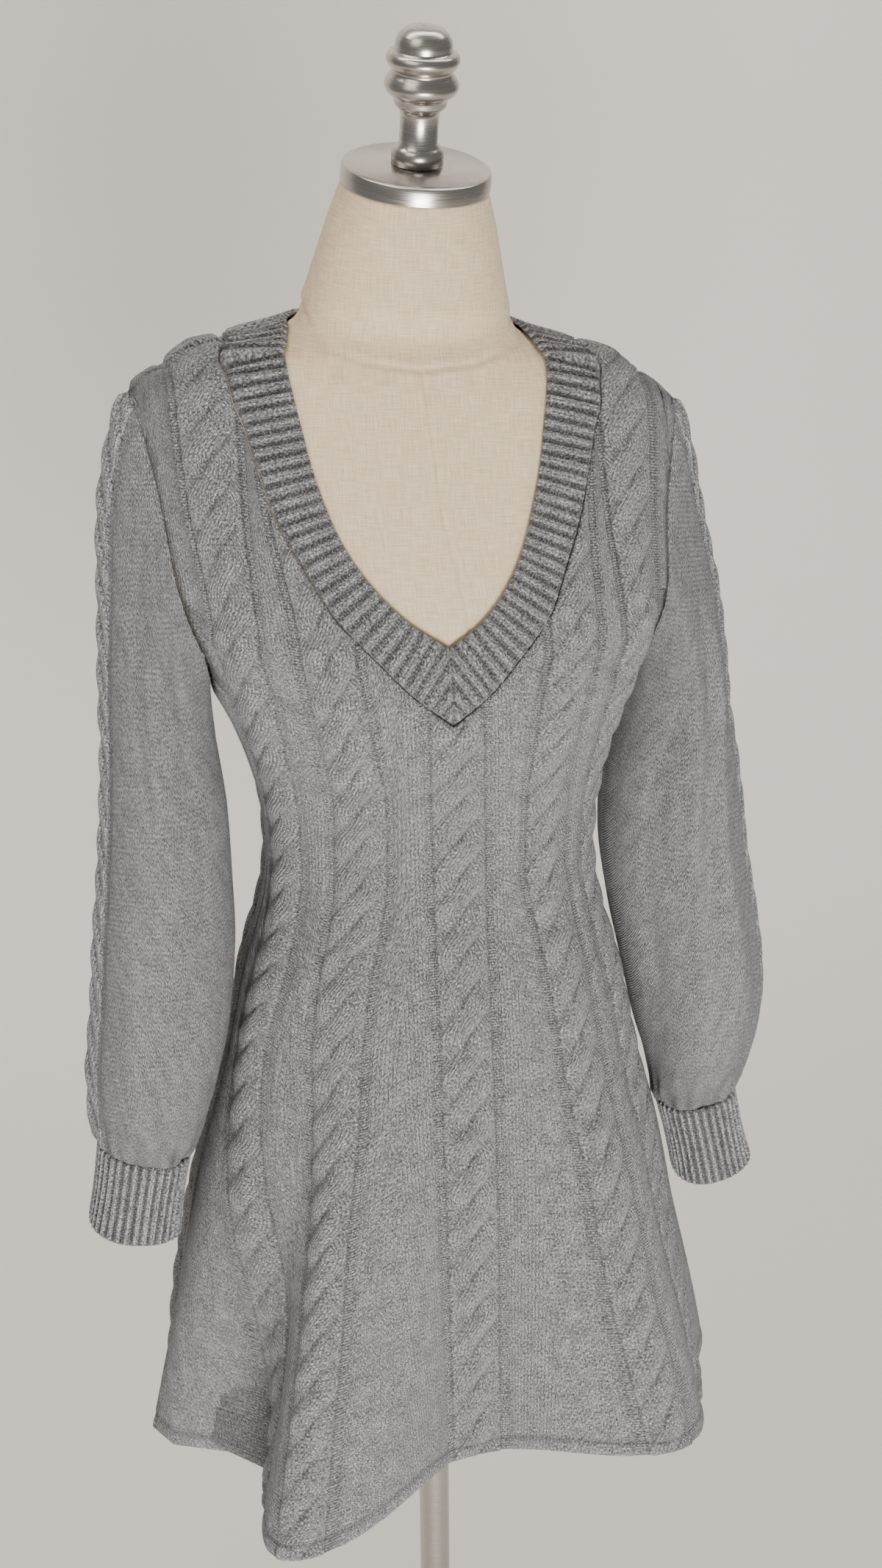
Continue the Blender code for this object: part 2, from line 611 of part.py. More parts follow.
def build_panel(name, back, cables, middles):
    """One panel: its outline first, then points inside it for the outer and the inner side."""
    panel = Panel(back, cables, middles)
    loop = []  # (label, length, offset angle, height)

    def add(label, offset, height):
        point = body_point(panel.angle(offset), height)
        loop.append((label, panel.length_near(label, point), offset, height))

    bottom = [-EDGE_LABEL]
    for middle in middles:
        places = [middle + offset for offset in (-CHANNEL_EDGE, -CHANNEL_FOOT, *STRAND_OFFSETS, CHANNEL_FOOT)]
        bottom += list(np.linspace(bottom[-1], places[0], 4)[1:-1]) + places + [middle + CHANNEL_EDGE]
    bottom += list(np.linspace(bottom[-1], EDGE_LABEL, 4)[1:])
    for label in bottom[:-1]:
        add(label, float(np.interp(label, panel.labels, panel.offsets[0])), HEM_HEIGHT)
    side = [(EDGE_LABEL, pi / 2, z) for z in edge_heights(HEM_HEIGHT, UNDERARM, 0.030)[:-1]]
    side += [(panel.label_of(a, z) if z > UNDERARM else EDGE_LABEL, a, z) for a, z in armhole_edge()]
    side += [(panel.label_of(pi / 2, z), pi / 2, z) for _, z in shoulder_edge()[1:-1]]
    neck = [(panel.label_of(a, z), a, z) for a, z in neck_edge(back, 24 if back else 36)]
    for label, offset, height in side + neck[::-1]:
        add(label, offset, height)
    for label, offset, height in side[:0:-1]:
        add(-label, -offset, height)

    flat = np.array([(label, length) for label, length, _, _ in loop])
    angles = panel.angle(np.array([offset for _, _, offset, _ in loop]))
    heights = np.array([height for _, _, _, height in loop])
    sewn = (heights > HEM_HEIGHT + 1e-6) & (np.abs(flat[:, 0]) < EDGE_LABEL - 1e-6)
    wall = Wall()
    edges = []
    for raised in (True, False):
        found, joined = interior(panel, flat, raised)
        if raised:
            rim = np.array([panel.relief(label, length) for label, length in flat])
            rim = np.where(sewn, np.minimum(rim, SEWN_RELIEF), rim)
            rest = np.array([panel.relief(label, length) for label, length in found])
        else:
            rim = np.full(len(flat), -CLOTH)
            rest = np.full(len(found), -CLOTH)
        edge = wall.add(body_point(angles, heights) + body_normal(angles, heights) * rim[:, None])
        ids = edge + wall.add(panel.surface([u for u, _ in found], [v for _, v in found], rest))
        plane = [Vector(place) for place in [*flat, *found]]
        joined = [(a + len(flat), b + len(flat)) for a, b in joined]
        for triangle in delaunay_2d_cdt(plane, joined, [list(range(len(flat)))], 1, 1e-7)[2]:
            wall.face(*(ids[i] for i in (triangle if raised else triangle[::-1])))
        edges.append(edge)
    for a, b in zip(range(len(flat)), [*range(1, len(flat)), 0]):
        wall.face(edges[0][b], edges[0][a], edges[1][a], edges[1][b])
    shift = SEAM_GAP / 2 if back else -SEAM_GAP / 2
    wall.points = [(x, y + shift, z) for x, y, z in wall.points]
    return make_object(name, wall, "wool")


def interior(panel, flat, relief):
    """Points inside the outline, and the pairs of them that edges join along the channels."""
    found = []
    joined = []
    top = flat[:, 1].max()

    def keep(label, length, room):
        kept = inside(flat, label, length) and distance(flat, label, length) > room
        if kept:
            found.append((label, length))
        return kept

    crossings = range(int(top / CABLE_PITCH) + 1)
    rows = [k for k in crossings if k % 2 or FLARE[0] < k * CABLE_PITCH < FLARE[1]]
    low_rows = [k for k in rows if k * CABLE_PITCH < FLARE[1]]
    lanes = (-CHANNEL_EDGE, 0, CHANNEL_EDGE)
    if relief:
        lanes = (-CHANNEL_EDGE, -CHANNEL_FOOT, CHANNEL_FOOT, CHANNEL_EDGE)
    for middle in panel.middles:
        if relief:
            for offset, phases in CABLE_NET:
                for place in (k + phase for k in crossings for phase in phases):
                    for side in (-1, 1)[: 1 + (offset > 0)]:
                        keep(middle + side * offset, place * CABLE_PITCH, 0.0035)
        for offset in lanes:
            last = False
            for place in rows if relief else low_rows:
                kept = keep(middle + offset, place * CABLE_PITCH, 0.0030)
                if kept and last:
                    joined.append((len(found) - 2, len(found) - 1))
                last = kept
        if not relief:
            for place in low_rows:
                for low in (-CHANNEL_EDGE, 0):
                    ends = middle + low, middle + low + CHANNEL_EDGE
                    for label in row_labels(panel, *ends, place * CABLE_PITCH):
                        keep(label, place * CABLE_PITCH, 0.004)
    length = NET_STEP / 2
    while length < top:
        whole = not relief and length > FLARE[1]
        for low, high in [(-EDGE_LABEL, EDGE_LABEL)] if whole else panel.gaps():
            for label in row_labels(panel, low, high, length):
                keep(label, length, 0.004)
        length += NET_STEP / 2 if length > 0.74 else NET_STEP
    return found, joined


def row_labels(panel, low, high, length):
    """Labels along a stretch of a row, closer together where the cloth bends."""
    labels = np.linspace(low, high, 31)
    steps = np.diff(panel.surface(labels, [length] * len(labels), 0)[:, :2], axis=0)
    heading = np.unwrap(np.arctan2(steps[:, 1], steps[:, 0]))
    turned = np.abs(np.diff(heading, prepend=heading[0]))
    weight = np.cumsum(np.linalg.norm(steps, axis=-1) / NET_WIDTH + turned / NET_TURN)
    weight = np.concatenate([[0], weight])
    count = max(1, round(weight[-1]))
    return np.interp(np.linspace(0, weight[-1], count + 1)[1:-1], weight, labels)


def inside(outline, x, y):
    x0, y0 = outline.T
    x1, y1 = np.roll(outline, -1, axis=0).T
    crosses = (y0 > y) != (y1 > y)
    with np.errstate(divide="ignore", invalid="ignore"):
        at = x0 + (y - y0) * (x1 - x0) / (y1 - y0)
    return bool(np.count_nonzero(crosses & (x < at)) % 2)


def distance(outline, x, y):
    start = outline
    along = np.roll(outline, -1, axis=0) - start
    share = ((np.array([x, y]) - start) * along).sum(1) / np.maximum((along**2).sum(1), 1e-12)
    nearest = start + along * np.clip(share, 0, 1)[:, None]
    return float(np.hypot(nearest[:, 0] - x, nearest[:, 1] - y).min())


# ---------------------------------------------------------------- neckband
def build_neckband():
    """A ribbed strip round the neck opening, drawn from its inner to its outer edge."""
    wall = Wall()
    fine = np.radians(np.linspace(0, 180, 721))
    edges = {}
    for name in ("inner", "outer"):
        points = body_point(fine, neck_height(fine, name))
        arc = np.concatenate([[0], np.cumsum(np.linalg.norm(np.diff(points, axis=0), axis=-1))])
        edges[name] = arc
    ribs = round((edges["inner"][-1] + edges["outer"][-1]) / 2 / BAND_RIB_PITCH)

    def point(share, across, out):
        """share runs from the V (0) round +X to the middle of the back (1) and on to the V (2)."""
        side = 1 if share <= 1 else -1
        part = share if share <= 1 else 2 - share
        ends = []
        for name in ("inner", "outer"):
            angle = float(np.interp(part * edges[name][-1], edges[name], fine))
            ends.append((angle, float(neck_height(angle, name))))
        (a0, z0), (a1, z1) = ends
        reach = across * (1 - 2 * SEAM_GAP / BAND_WIDTH)
        angle = side * (a0 + (a1 - a0) * reach)
        height = z0 + (z1 - z0) * reach
        return body_point(angle, height) + body_normal(angle, height) * out

    rib_shares = np.arange(0, 2 * ribs * 2) / (2 * ribs)
    at = rib_shares / 2
    plain_shares = np.arange(0, 64) / 32
    plain_at = plain_shares / 2
    heights = [RIB_HEIGHT * (index % 2) for index in range(len(rib_shares))]
    inner_out, outer_out = (
        wall.add([point(share, across, out) for share, out in zip(rib_shares, heights)]) for across in (0, 1)
    )
    inner_in, middle_in, outer_in = (
        wall.add([point(share, across, -CLOTH) for share in plain_shares]) for across in (0, 0.5, 1)
    )
    wall.zip_rings(inner_out, at, outer_out, at)
    wall.zip_rings(outer_in, plain_at, middle_in, plain_at)
    wall.zip_rings(middle_in, plain_at, inner_in, plain_at)
    wall.zip_rings(inner_in, plain_at, inner_out, at)
    wall.zip_rings(outer_out, at, outer_in, plain_at)
    return make_object("neckband", wall, "wool_rib")


# ---------------------------------------------------------------- sleeves and cuffs
def sleeve_ring(table, height, shares):
    """A level ring of a sleeve at +X: shares of its length run from the outer side by the front."""
    turn = np.linspace(0, 2 * pi, 361)
    middle = float(column(table, "middle", height))
    half_width = float(column(table, "half_width", height))
    half_depth = float(column(table, "half_depth", height))
    radius = (
        (np.abs(np.cos(turn)) / half_width) ** SQUARENESS
        + (np.abs(np.sin(turn)) / half_depth) ** SQUARENESS
    ) ** (-1 / SQUARENESS)
    x = middle + radius * np.cos(turn)
    y = -radius * np.sin(turn)
    arc = np.concatenate([[0], np.cumsum(np.hypot(np.diff(x), np.diff(y)))])
    places = np.mod(shares, 1) * arc[-1]
    level = np.full(len(shares), height)
    return np.stack([np.interp(places, arc, x), np.interp(places, arc, y), level], axis=1)


class ArmholeLoop:
    """The closed seam line of the +X armhole, from the shoulder by the front and the underarm."""

    def __init__(self, table):
        edge = armhole_edge()
        angles = [a for a, _ in edge[::-1]] + [pi - a for a, _ in edge[1:-1]]
        heights = [z for _, z in edge[::-1]] + [z for _, z in edge[1:-1]]
        angles, heights = np.array(angles), np.array(heights)
        self.points = body_point(angles, heights, 0.0)
        self.normals = body_normal(angles, heights, 0.0)
        steps = np.linalg.norm(np.diff(self.points, axis=0, append=self.points[:1]), axis=-1)
        half = len(edge) - 1
        front = np.concatenate([[0], np.cumsum(steps[:half])])
        rear = np.cumsum(steps[half:])
        self.shares = np.concatenate([0.5 * front / front[-1], 0.5 + 0.5 * rear[:-1] / rear[-1]])
        ahead = np.roll(self.points, -1, axis=0) - np.roll(self.points, 1, axis=0)
        into = np.cross(self.normals, ahead)
        into /= np.linalg.norm(into, axis=1, keepdims=True)
        middle = self.points.mean(axis=0)
        into *= np.sign(((middle - self.points) * into).sum(1))[:, None]
        self.into = into
        target = sleeve_ring(table, table[0].height, self.shares)
        away = target - self.points
        away /= np.linalg.norm(away, axis=1, keepdims=True)
        lift = 0.15 + 0.3 * smoothstep((self.points[:, 2] - UNDERARM) / 0.06)
        leaving = away + lift[:, None] * np.array([1.0, 0, 0])
        self.leaving = leaving / np.linalg.norm(leaving, axis=1, keepdims=True)
        opened = np.arctan2((self.leaving * self.normals).sum(1), (self.leaving * into).sum(1))
        self.start = self.points + 1.4 * SEAM_GAP * (
            into * np.cos(opened / 2)[:, None] + self.normals * np.sin(opened / 2)[:, None]
        )
        self.inward = -self.normals * np.cos(opened)[:, None] + into * np.sin(opened)[:, None]

    def at(self, shares, values):
        places = np.concatenate([self.shares, [1.0]])
        ring = np.concatenate([values, values[:1]])
        return np.stack([np.interp(np.mod(shares, 1), places, ring[:, i]) for i in range(3)], axis=1)


class SleeveSheet:
    """A sleeve's outer surface at +X, as a fine net from the armhole to the cuff."""

    def __init__(self, table):
        self.loop = ArmholeLoop(table)
        self.shares = np.arange(0, 97) / 96
        start = self.loop.at(self.shares, self.loop.start)
        leaving = self.loop.at(self.shares, self.loop.leaving)
        end = sleeve_ring(table, table[0].height, self.shares)
        size = np.linalg.norm(end - start, axis=1, keepdims=True)
        rows = []
        for t in np.linspace(0, 1, 25)[:-1]:
            rise = t * t * (3 - 2 * t)
            lead = t * (1 - t) ** 2
            tail = t * t * (t - 1)
            down = np.array([[0, 0, -1.0]])
            bend = HEAD_BEND * size * (lead * leaving + tail * down)
            rows.append(start * (1 - rise) + end * rise + bend)
        for height in np.linspace(table[0].height, table[-1].height, 58):
            rows.append(sleeve_ring(table, height, self.shares))
        self.points = np.array(rows)
        tilt = CUFF_TILT * smoothstep((0.80 - self.points[..., 2]) / 0.11)
        self.points[..., 2] += tilt * (self.points[..., 0] - table[-1].middle)
        steps = np.linalg.norm(np.diff(self.points, axis=0), axis=-1)
        self.lengths = np.concatenate([np.zeros((1, len(self.shares))), np.cumsum(steps, axis=0)])
        down = np.gradient(self.points, axis=0)
        around = np.roll(self.points[:, :-1], -1, axis=1) - np.roll(self.points[:, :-1], 1, axis=1)
        around = np.concatenate([around, around[:, :1]], axis=1)
        normals = np.cross(around, down)
        self.normals = normals / np.linalg.norm(normals, axis=-1, keepdims=True)
        outward = (self.normals * (self.points - self.points.mean(axis=1, keepdims=True))).sum()
        self.normals *= np.sign(outward)
        self.normals[-1, :, 2] = CUFF_TILT * self.normals[-1, :, 0]
        rings = np.linalg.norm(np.diff(self.points, axis=1), axis=-1)
        self.around = rings.sum(axis=1)

    def column(self, share):
        """Points, normals and lengths down one column."""
        place = (share % 1) * 96
        k = int(place)
        part = place - k
        return (
            self.points[:, k] * (1 - part) + self.points[:, k + 1] * part,
            self.normals[:, k] * (1 - part) + self.normals[:, k + 1] * part,
            self.lengths[:, k] * (1 - part) + self.lengths[:, k + 1] * part,
        )

    def place(self, share, offset, length, out):
        """The point this far down the sleeve; the offset is in metres along the ring."""
        _, _, lengths = self.column(share)
        width = np.interp(length, lengths, self.around)
        points, normals, lengths = self.column(share + offset / width)
        row = np.interp(length, lengths, np.arange(len(lengths)))
        k = min(int(row), len(lengths) - 2)
        part = row - k
        point = points[k] * (1 - part) + points[k + 1] * part
        normal = normals[k] * (1 - part) + normals[k + 1] * part
        return point + out * normal / np.linalg.norm(normal)

    def length_of(self, share):
        return self.column(share)[2][-1]


def build_sleeve(name, side, table):
    sheet = SleeveSheet(table)
    wall = Wall()
    loop = sheet.loop
    top_out = wall.add(loop.start)
    top_in = wall.add(loop.start + CLOTH * loop.inward)
    cable = [0.0] + [o for o in STRAND_OFFSETS if o > 0] + [CHANNEL_FOOT, CHANNEL_EDGE]
    columns = [(0.0, offset) for offset in cable]
    columns += [(share, 0.0) for share in (0.105, *np.linspace(0.16, 0.84, 10), 0.895)]
    columns += [(1.0, -offset) for offset in cable[:0:-1]]

    def rings(picked, out, relief):
        chains = []
        for share, offset in picked:
            total = sheet.length_of(share)
            phases = dict(CABLE_NET).get(abs(offset)) if relief and share in (0.0, 1.0) else None
            if phases:
                lengths = [(k + phase) * CABLE_PITCH for k in range(1, 40) for phase in phases]
                lengths = [length for length in lengths if length < total - 0.004] + [total]
            else:
                head = np.arange(0.012, HEAD_LENGTH, NET_STEP / 2)
                rest = np.linspace(HEAD_LENGTH, total, round((total - HEAD_LENGTH) / NET_STEP) + 1)
                lengths = np.concatenate([head, rest])
            points, at = [], []
            for length in lengths:
                raised = out
                if relief and share in (0.0, 1.0):
                    fade = smoothstep((total - length) / 0.012)
                    raised = out + float(cable_relief(offset, length / CABLE_PITCH)) * fade
                points.append(sheet.place(share, offset, length, raised))
                at.append(length / total)
            chains.append((share + offset / 0.38, wall.add(points), at))
        return chains

    outer = rings(columns, 0.0, True)
    inner = rings([(share, 0.0) for share in np.arange(0, 16) / 16], -CLOTH, False)
    for chains, flip in ((outer, False), (inner, True)):
        for (_, a, a_at), (_, b, b_at) in zip(chains, chains[1:] + chains[:1]):
            if flip:
                wall.zip(b, b_at, a, a_at)
            else:
                wall.zip(a, a_at, b, b_at)
    outer_at = [share for share, _, _ in outer]
    inner_at = [share for share, _, _ in inner]
    wall.zip_rings(top_out, loop.shares, [c[1][0] for c in outer], outer_at)
    wall.zip_rings([c[1][0] for c in inner], inner_at, top_in, loop.shares)
    wall.zip_rings(top_in, loop.shares, top_out, loop.shares)
    wall.zip_rings([c[1][-1] for c in outer], outer_at, [c[1][-1] for c in inner], inner_at)
    wall.points = [(side * x, y, z) for x, y, z in wall.points]
    return make_object(name, wall, "wool")


def build_cuff(name, side, table, cuff_lean):
    """A ribbed tube under the sleeve, leaning a little outwards."""
    wall = Wall()
    top = table[-1]
    shares = np.arange(0, CUFF_RIBS * 2) / (CUFF_RIBS * 2)
    plain = np.arange(0, 24) / 24

    def ring(places, down, shrink, ribs):
        points = sleeve_ring(table, top.height, places)
        out = (points - [top.middle, 0, 0]) * [1, 1, 0]
        out /= np.linalg.norm(out, axis=1, keepdims=True)
        raised = np.where(np.arange(len(places)) % 2, RIB_HEIGHT, 0.0) if ribs else 0.0
        points = points + out * np.reshape(raised - shrink, (-1, 1))
        tilt = CUFF_TILT * (points[:, 0] - top.middle)
        points[:, 2] = top.height + tilt - SEAM_GAP - down * CUFF_LENGTH
        points[:, 0] += cuff_lean * down
        return points

    outer = [wall.add(ring(shares, down, 0.001 * sin(pi * down), True)) for down in (0.0, 0.5, 1.0)]
    inner = [wall.add(ring(plain, down, CLOTH, False)) for down in (0.0, 1.0)]
    wall.zip_rings(outer[0], shares, outer[1], shares)
    wall.zip_rings(outer[1], shares, outer[2], shares)
    wall.zip_rings(inner[1], plain, inner[0], plain)
    wall.zip_rings(inner[0], plain, outer[0], shares)
    wall.zip_rings(outer[2], shares, inner[1], plain)
    wall.points = [(side * x, y, z) for x, y, z in wall.points]
    return make_object(name, wall, "wool_rib")


# ---------------------------------------------------------------- dress form and stand
def build_torso():
    """The form: the body surface set in by the cloth and a clearance, closed at the neck and below."""
    wall = Wall()
    at = np.arange(0, FORM_STEPS) / FORM_STEPS
    turns = 2 * pi * at
    rows = []
    for height in FORM_HEIGHTS:
        inset = float(column(INSET, "depth", height))
        inward = -body_normal(turns, height, 0.0)
        inward[:, 2] *= smoothstep((height - 0.76) / 0.1)
        points = body_point(turns, height, 0.0) + inset * inward
        points[:, 2] += NECK_TILT * points[:, 1] * smoothstep((height - 1.385) / 0.05)
        rows.append(wall.add(points))
    for low, high in zip(rows, rows[1:]):
        wall.zip_rings(low, at, high, at)
    bottom = wall.add([(0, 0, FORM_HEIGHTS[0])])
    top = wall.add([(0, 0, FORM_HEIGHTS[-1])])
    for k in range(FORM_STEPS):
        wall.face(bottom[0], rows[0][k], rows[0][k - 1])
        wall.face(top[0], rows[-1][k - 1], rows[-1][k])
    return make_object("form_torso", wall, "linen")


def turned(name, profile, steps, material, matrix):
    """A turned solid from (radius, height) pairs, listed from its top down."""
    mesh = bpy.data.meshes.new(name)
    mesh.from_pydata([(r, 0, z) for r, z in profile], [(i, i + 1) for i in range(len(profile) - 1)], [])
    obj = bpy.data.objects.new(name, mesh)
    obj.matrix_world = matrix
    screw = obj.modifiers.new("Screw", "SCREW")
    screw.steps = screw.render_steps = steps
    screw.use_merge_vertices = True
    screw.merge_threshold = 0.0001
    screw.use_smooth_shade = False
    return place(obj, material)


def build_stand():
    """The neck cap with its finial above, and the pole with its base plate below."""
    foot = Vector(lean([(0, 0, FORM_HEIGHTS[-1] + SEAM_GAP)])[0])
    tilt = Matrix.Rotation(radians(8.5), 4, "X") @ Matrix.Rotation(radians(4.0), 4, "Y")
    cap = Matrix.Translation(foot) @ tilt
    turned("neck_cap", CAP_PROFILE, 32, "steel", cap)
    seat = cap @ Vector((0, 0, CAP_PROFILE[0][1] + 3 * SEAM_GAP))
    upright = Matrix.Rotation(radians(8.5), 4, "X") @ Matrix.Rotation(radians(2.3), 4, "Y")
    turned("finial", FINIAL_PROFILE, 14, "steel", Matrix.Translation(seat) @ upright)
    top = FORM_HEIGHTS[0] - SEAM_GAP
    low = SOCKET_FLOOR + SEAM_GAP
    pole = ((0, top), (POLE_RADIUS, top), (POLE_RADIUS, low), (0, low))
    turned("pole", pole, 20, "steel", Matrix.Identity(4))
    turned("base_plate", BASE_PROFILE, 24, "steel", Matrix.Identity(4))


def main():
    for obj in list(bpy.data.objects):
        bpy.data.objects.remove(obj, do_unlink=True)
    bpy.context.scene.collection.children.link(collection)
    build_panel("front_panel", False, FRONT_CABLES, CABLE_LABELS)
    build_panel("back_panel", True, BACK_CABLES, CABLE_LABELS[1:4])
    build_neckband()
    build_sleeve("left_sleeve", -1, LEFT_SLEEVE)
    build_sleeve("right_sleeve", 1, RIGHT_SLEEVE)
    build_cuff("left_cuff", -1, LEFT_SLEEVE, LEFT_CUFF_LEAN)
    build_cuff("right_cuff", 1, RIGHT_SLEEVE, RIGHT_CUFF_LEAN)
    build_torso()
    build_stand()


if __name__ == "__main__":
    main()
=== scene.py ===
"""Looks of a cable-knit sweater dress that hangs on a limbless dress form.

The file is laid out as an add-on and is run as a script. Metres, +Z up, the front faces -Y. Every knitted
piece is a thin shell on the same level sections as its solid, with finer cables, ribs, creases and fuzz.
"""

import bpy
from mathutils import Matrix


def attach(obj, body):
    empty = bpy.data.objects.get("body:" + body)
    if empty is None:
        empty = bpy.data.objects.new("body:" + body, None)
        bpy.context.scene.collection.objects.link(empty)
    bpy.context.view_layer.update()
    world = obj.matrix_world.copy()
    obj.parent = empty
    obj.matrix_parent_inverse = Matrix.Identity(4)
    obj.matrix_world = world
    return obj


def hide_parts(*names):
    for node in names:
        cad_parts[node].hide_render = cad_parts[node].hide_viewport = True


bl_info = {
    "name": "Cable-knit sweater dress",
    "version": (1, 0, 0),
    "blender": (4, 5, 0),
    "location": "3D View > Sidebar > Dress",
    "description": "Knitted shells, linen form and steel stand on the packed frame",
    "category": "Object",
}

from collections import namedtuple
from functools import lru_cache
from math import cos, pi, radians, sin, tan

import bpy
import numpy as np
from bpy.props import FloatProperty, FloatVectorProperty, IntProperty, PointerProperty
from mathutils import Matrix, Vector
from mathutils.geometry import delaunay_2d_cdt

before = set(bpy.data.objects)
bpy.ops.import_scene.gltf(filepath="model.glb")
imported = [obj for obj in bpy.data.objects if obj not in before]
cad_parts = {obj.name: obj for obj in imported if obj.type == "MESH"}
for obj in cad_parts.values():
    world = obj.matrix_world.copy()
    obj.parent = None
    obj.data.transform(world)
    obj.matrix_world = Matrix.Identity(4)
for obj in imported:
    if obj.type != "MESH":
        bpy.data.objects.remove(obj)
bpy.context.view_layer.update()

# ---------------------------------------------------------------- sizes of the garment
HEM_HEIGHT = 0.465
CLOTH = 0.0030  # plain knit wall
SEAM_GAP = 0.0003  # between two pieces that are sewn together
POLE_RADIUS = 0.0125
BASE_RADIUS = 0.165

# Cables: two strands that twist round each other, between two purl channels.
CABLE_PITCH = 0.0320  # one crossing to the next
STRAND_SWING = 0.0078  # sideways travel of a strand
STRAND_HALF = 0.0128
STRAND_HEIGHT = 0.0036
STRAND_LIFT = 0.0022  # extra height of the strand that passes in front
CHANNEL_START = 0.0200
CHANNEL_HALF = 0.0262  # from the cable's middle to the far side of the purl channel
CHANNEL_EDGE = 0.0253
CHANNEL_DEPTH = 0.0013

BAND_RIB_PITCH = 0.0088
CUFF_RIBS = 34

# Level sections of the body surface (outside of the plain cloth), from hem to neck cap.
Section = namedtuple("Section", "height half_width front back")
BODY = (
    Section(0.465, 0.2140, 0.1500, 0.1650),
    Section(0.520, 0.2095, 0.1470, 0.1580),
    Section(0.600, 0.1985, 0.1430, 0.1500),
    Section(0.680, 0.1840, 0.1380, 0.1420),
    Section(0.760, 0.1630, 0.1300, 0.1320),
    Section(0.800, 0.1545, 0.1250, 0.1260),
    Section(0.840, 0.1460, 0.1180, 0.1180),
    Section(0.870, 0.1360, 0.1100, 0.1100),
    Section(0.900, 0.1285, 0.1020, 0.1030),
    Section(0.930, 0.1255, 0.0980, 0.0980),
    Section(0.960, 0.1270, 0.0990, 0.0960),
    Section(1.000, 0.1350, 0.1070, 0.0980),
    Section(1.040, 0.1480, 0.1200, 0.1020),
    Section(1.065, 0.1600, 0.1260, 0.1050),
    Section(1.100, 0.1760, 0.1310, 0.1070),
    Section(1.140, 0.1960, 0.1280, 0.1090),
    Section(1.180, 0.2050, 0.1170, 0.1090),
    Section(1.220, 0.2075, 0.1010, 0.1060),
    Section(1.260, 0.2060, 0.0850, 0.0990),
    Section(1.285, 0.2020, 0.0740, 0.0900),
    Section(1.301, 0.1810, 0.0680, 0.0840),
    Section(1.313, 0.1570, 0.0630, 0.0790),
    Section(1.322, 0.1340, 0.0590, 0.0750),
    Section(1.331, 0.1000, 0.0550, 0.0710),
    Section(1.337, 0.0860, 0.0530, 0.0670),
    Section(1.345, 0.0790, 0.0535, 0.0630),
    Section(1.357, 0.0745, 0.0540, 0.0605),
    Section(1.385, 0.0670, 0.0530, 0.0580),
    Section(1.410, 0.0605, 0.0520, 0.0560),
    Section(1.437, 0.0520, 0.0500, 0.0510),
)
SQUARENESS = 2.2  # power of the sections' rounded shape
UNDERARM = 1.065
SHOULDER_HEIGHT = 1.285  # outer end of the shoulder seam
SHOULDER_X = 0.202
NECK_OUTER_X = 0.1330
NECK_TOP = 1.3385

# Folds of the skirt: where they run down, how far they stand out at the hem, their spread to each side.
Fold = namedtuple("Fold", "angle depth spread_left spread_right start")
FOLDS = (
    Fold(-33, 0.137, 8.6, 12.0, 0.80),
    Fold(-72, 0.042, 9.0, 9.0, 0.74),
    Fold(44, 0.068, 13.0, 13.0, 0.80),
    Fold(86, 0.014, 10.0, 10.0, 0.62),
    Fold(122, 0.040, 11.0, 12.0, 0.76),
    Fold(163, 0.030, 12.0, 10.0, 0.70),
    Fold(-158, 0.036, 11.0, 12.0, 0.74),
    Fold(-121, 0.022, 11.0, 10.0, 0.76),
)

# Cables of a panel: distance along the cloth from the panel's middle to each cable, left and right.
Cables = namedtuple("Cables", "height middle flank_left flank_right outer_left outer_right")
FRONT_CABLES = (
    Cables(0.465, 0.005, 0.188, 0.163, 0.290, 0.262),
    Cables(0.520, 0.005, 0.167, 0.150, 0.262, 0.240),
    Cables(0.600, 0.005, 0.138, 0.131, 0.222, 0.215),
    Cables(0.680, 0.005, 0.1165, 0.120, 0.203, 0.197),
    Cables(0.760, 0.005, 0.099, 0.107, 0.190, 0.180),
    Cables(0.800, 0.005, 0.0955, 0.102, 0.180, 0.172),
    Cables(0.860, 0.005, 0.086, 0.0932, 0.158, 0.158),
    Cables(0.900, 0.006, 0.075, 0.086, 0.146, 0.149),
    Cables(0.940, 0.006, 0.0692, 0.0795, 0.140, 0.144),
    Cables(1.000, 0.004, 0.0695, 0.0795, 0.142, 0.147),
    Cables(1.040, 0.003, 0.076, 0.083, 0.150, 0.155),
    Cables(1.080, 0.002, 0.083, 0.0875, 0.154, 0.160),
    Cables(1.120, 0.001, 0.088, 0.098, 0.160, 0.168),
)
BACK_CABLES = (
    Cables(0.465, 0.000, 0.170, 0.170, 0.310, 0.310),
    Cables(0.600, 0.000, 0.140, 0.140, 0.240, 0.240),
    Cables(0.760, 0.000, 0.105, 0.105, 0.182, 0.182),
    Cables(0.930, 0.000, 0.0775, 0.0775, 0.140, 0.140),
    Cables(1.040, 0.000, 0.079, 0.079, 0.148, 0.148),
    Cables(1.120, 0.000, 0.086, 0.086, 0.160, 0.160),
)
YOKE_HEIGHT = 1.12  # above this the cables run straight to the shoulder
FLANK_TOP_X = 0.100
OUTER_TOP_X = 0.153

# A panel's own sideways coordinate: the same cable always lies at the same label.
FLANK_LABEL = 0.0775
OUTER_LABEL = 0.1450
EDGE_LABEL = 0.1850
CABLE_LABELS = (-OUTER_LABEL, -FLANK_LABEL, 0.0, FLANK_LABEL, OUTER_LABEL)

# Armhole edge of front and back, as an angle from the middle of the panel.
Armhole = namedtuple("Armhole", "height angle")
ARMHOLE = (
    Armhole(1.065, 90.0),
    Armhole(1.073, 82.0),
    Armhole(1.085, 76.0),
    Armhole(1.105, 72.8),
    Armhole(1.140, 71.8),
    Armhole(1.180, 72.6),
    Armhole(1.215, 75.0),
    Armhole(1.245, 78.8),
    Armhole(1.270, 82.8),
    Armhole(1.285, 90.0),
)

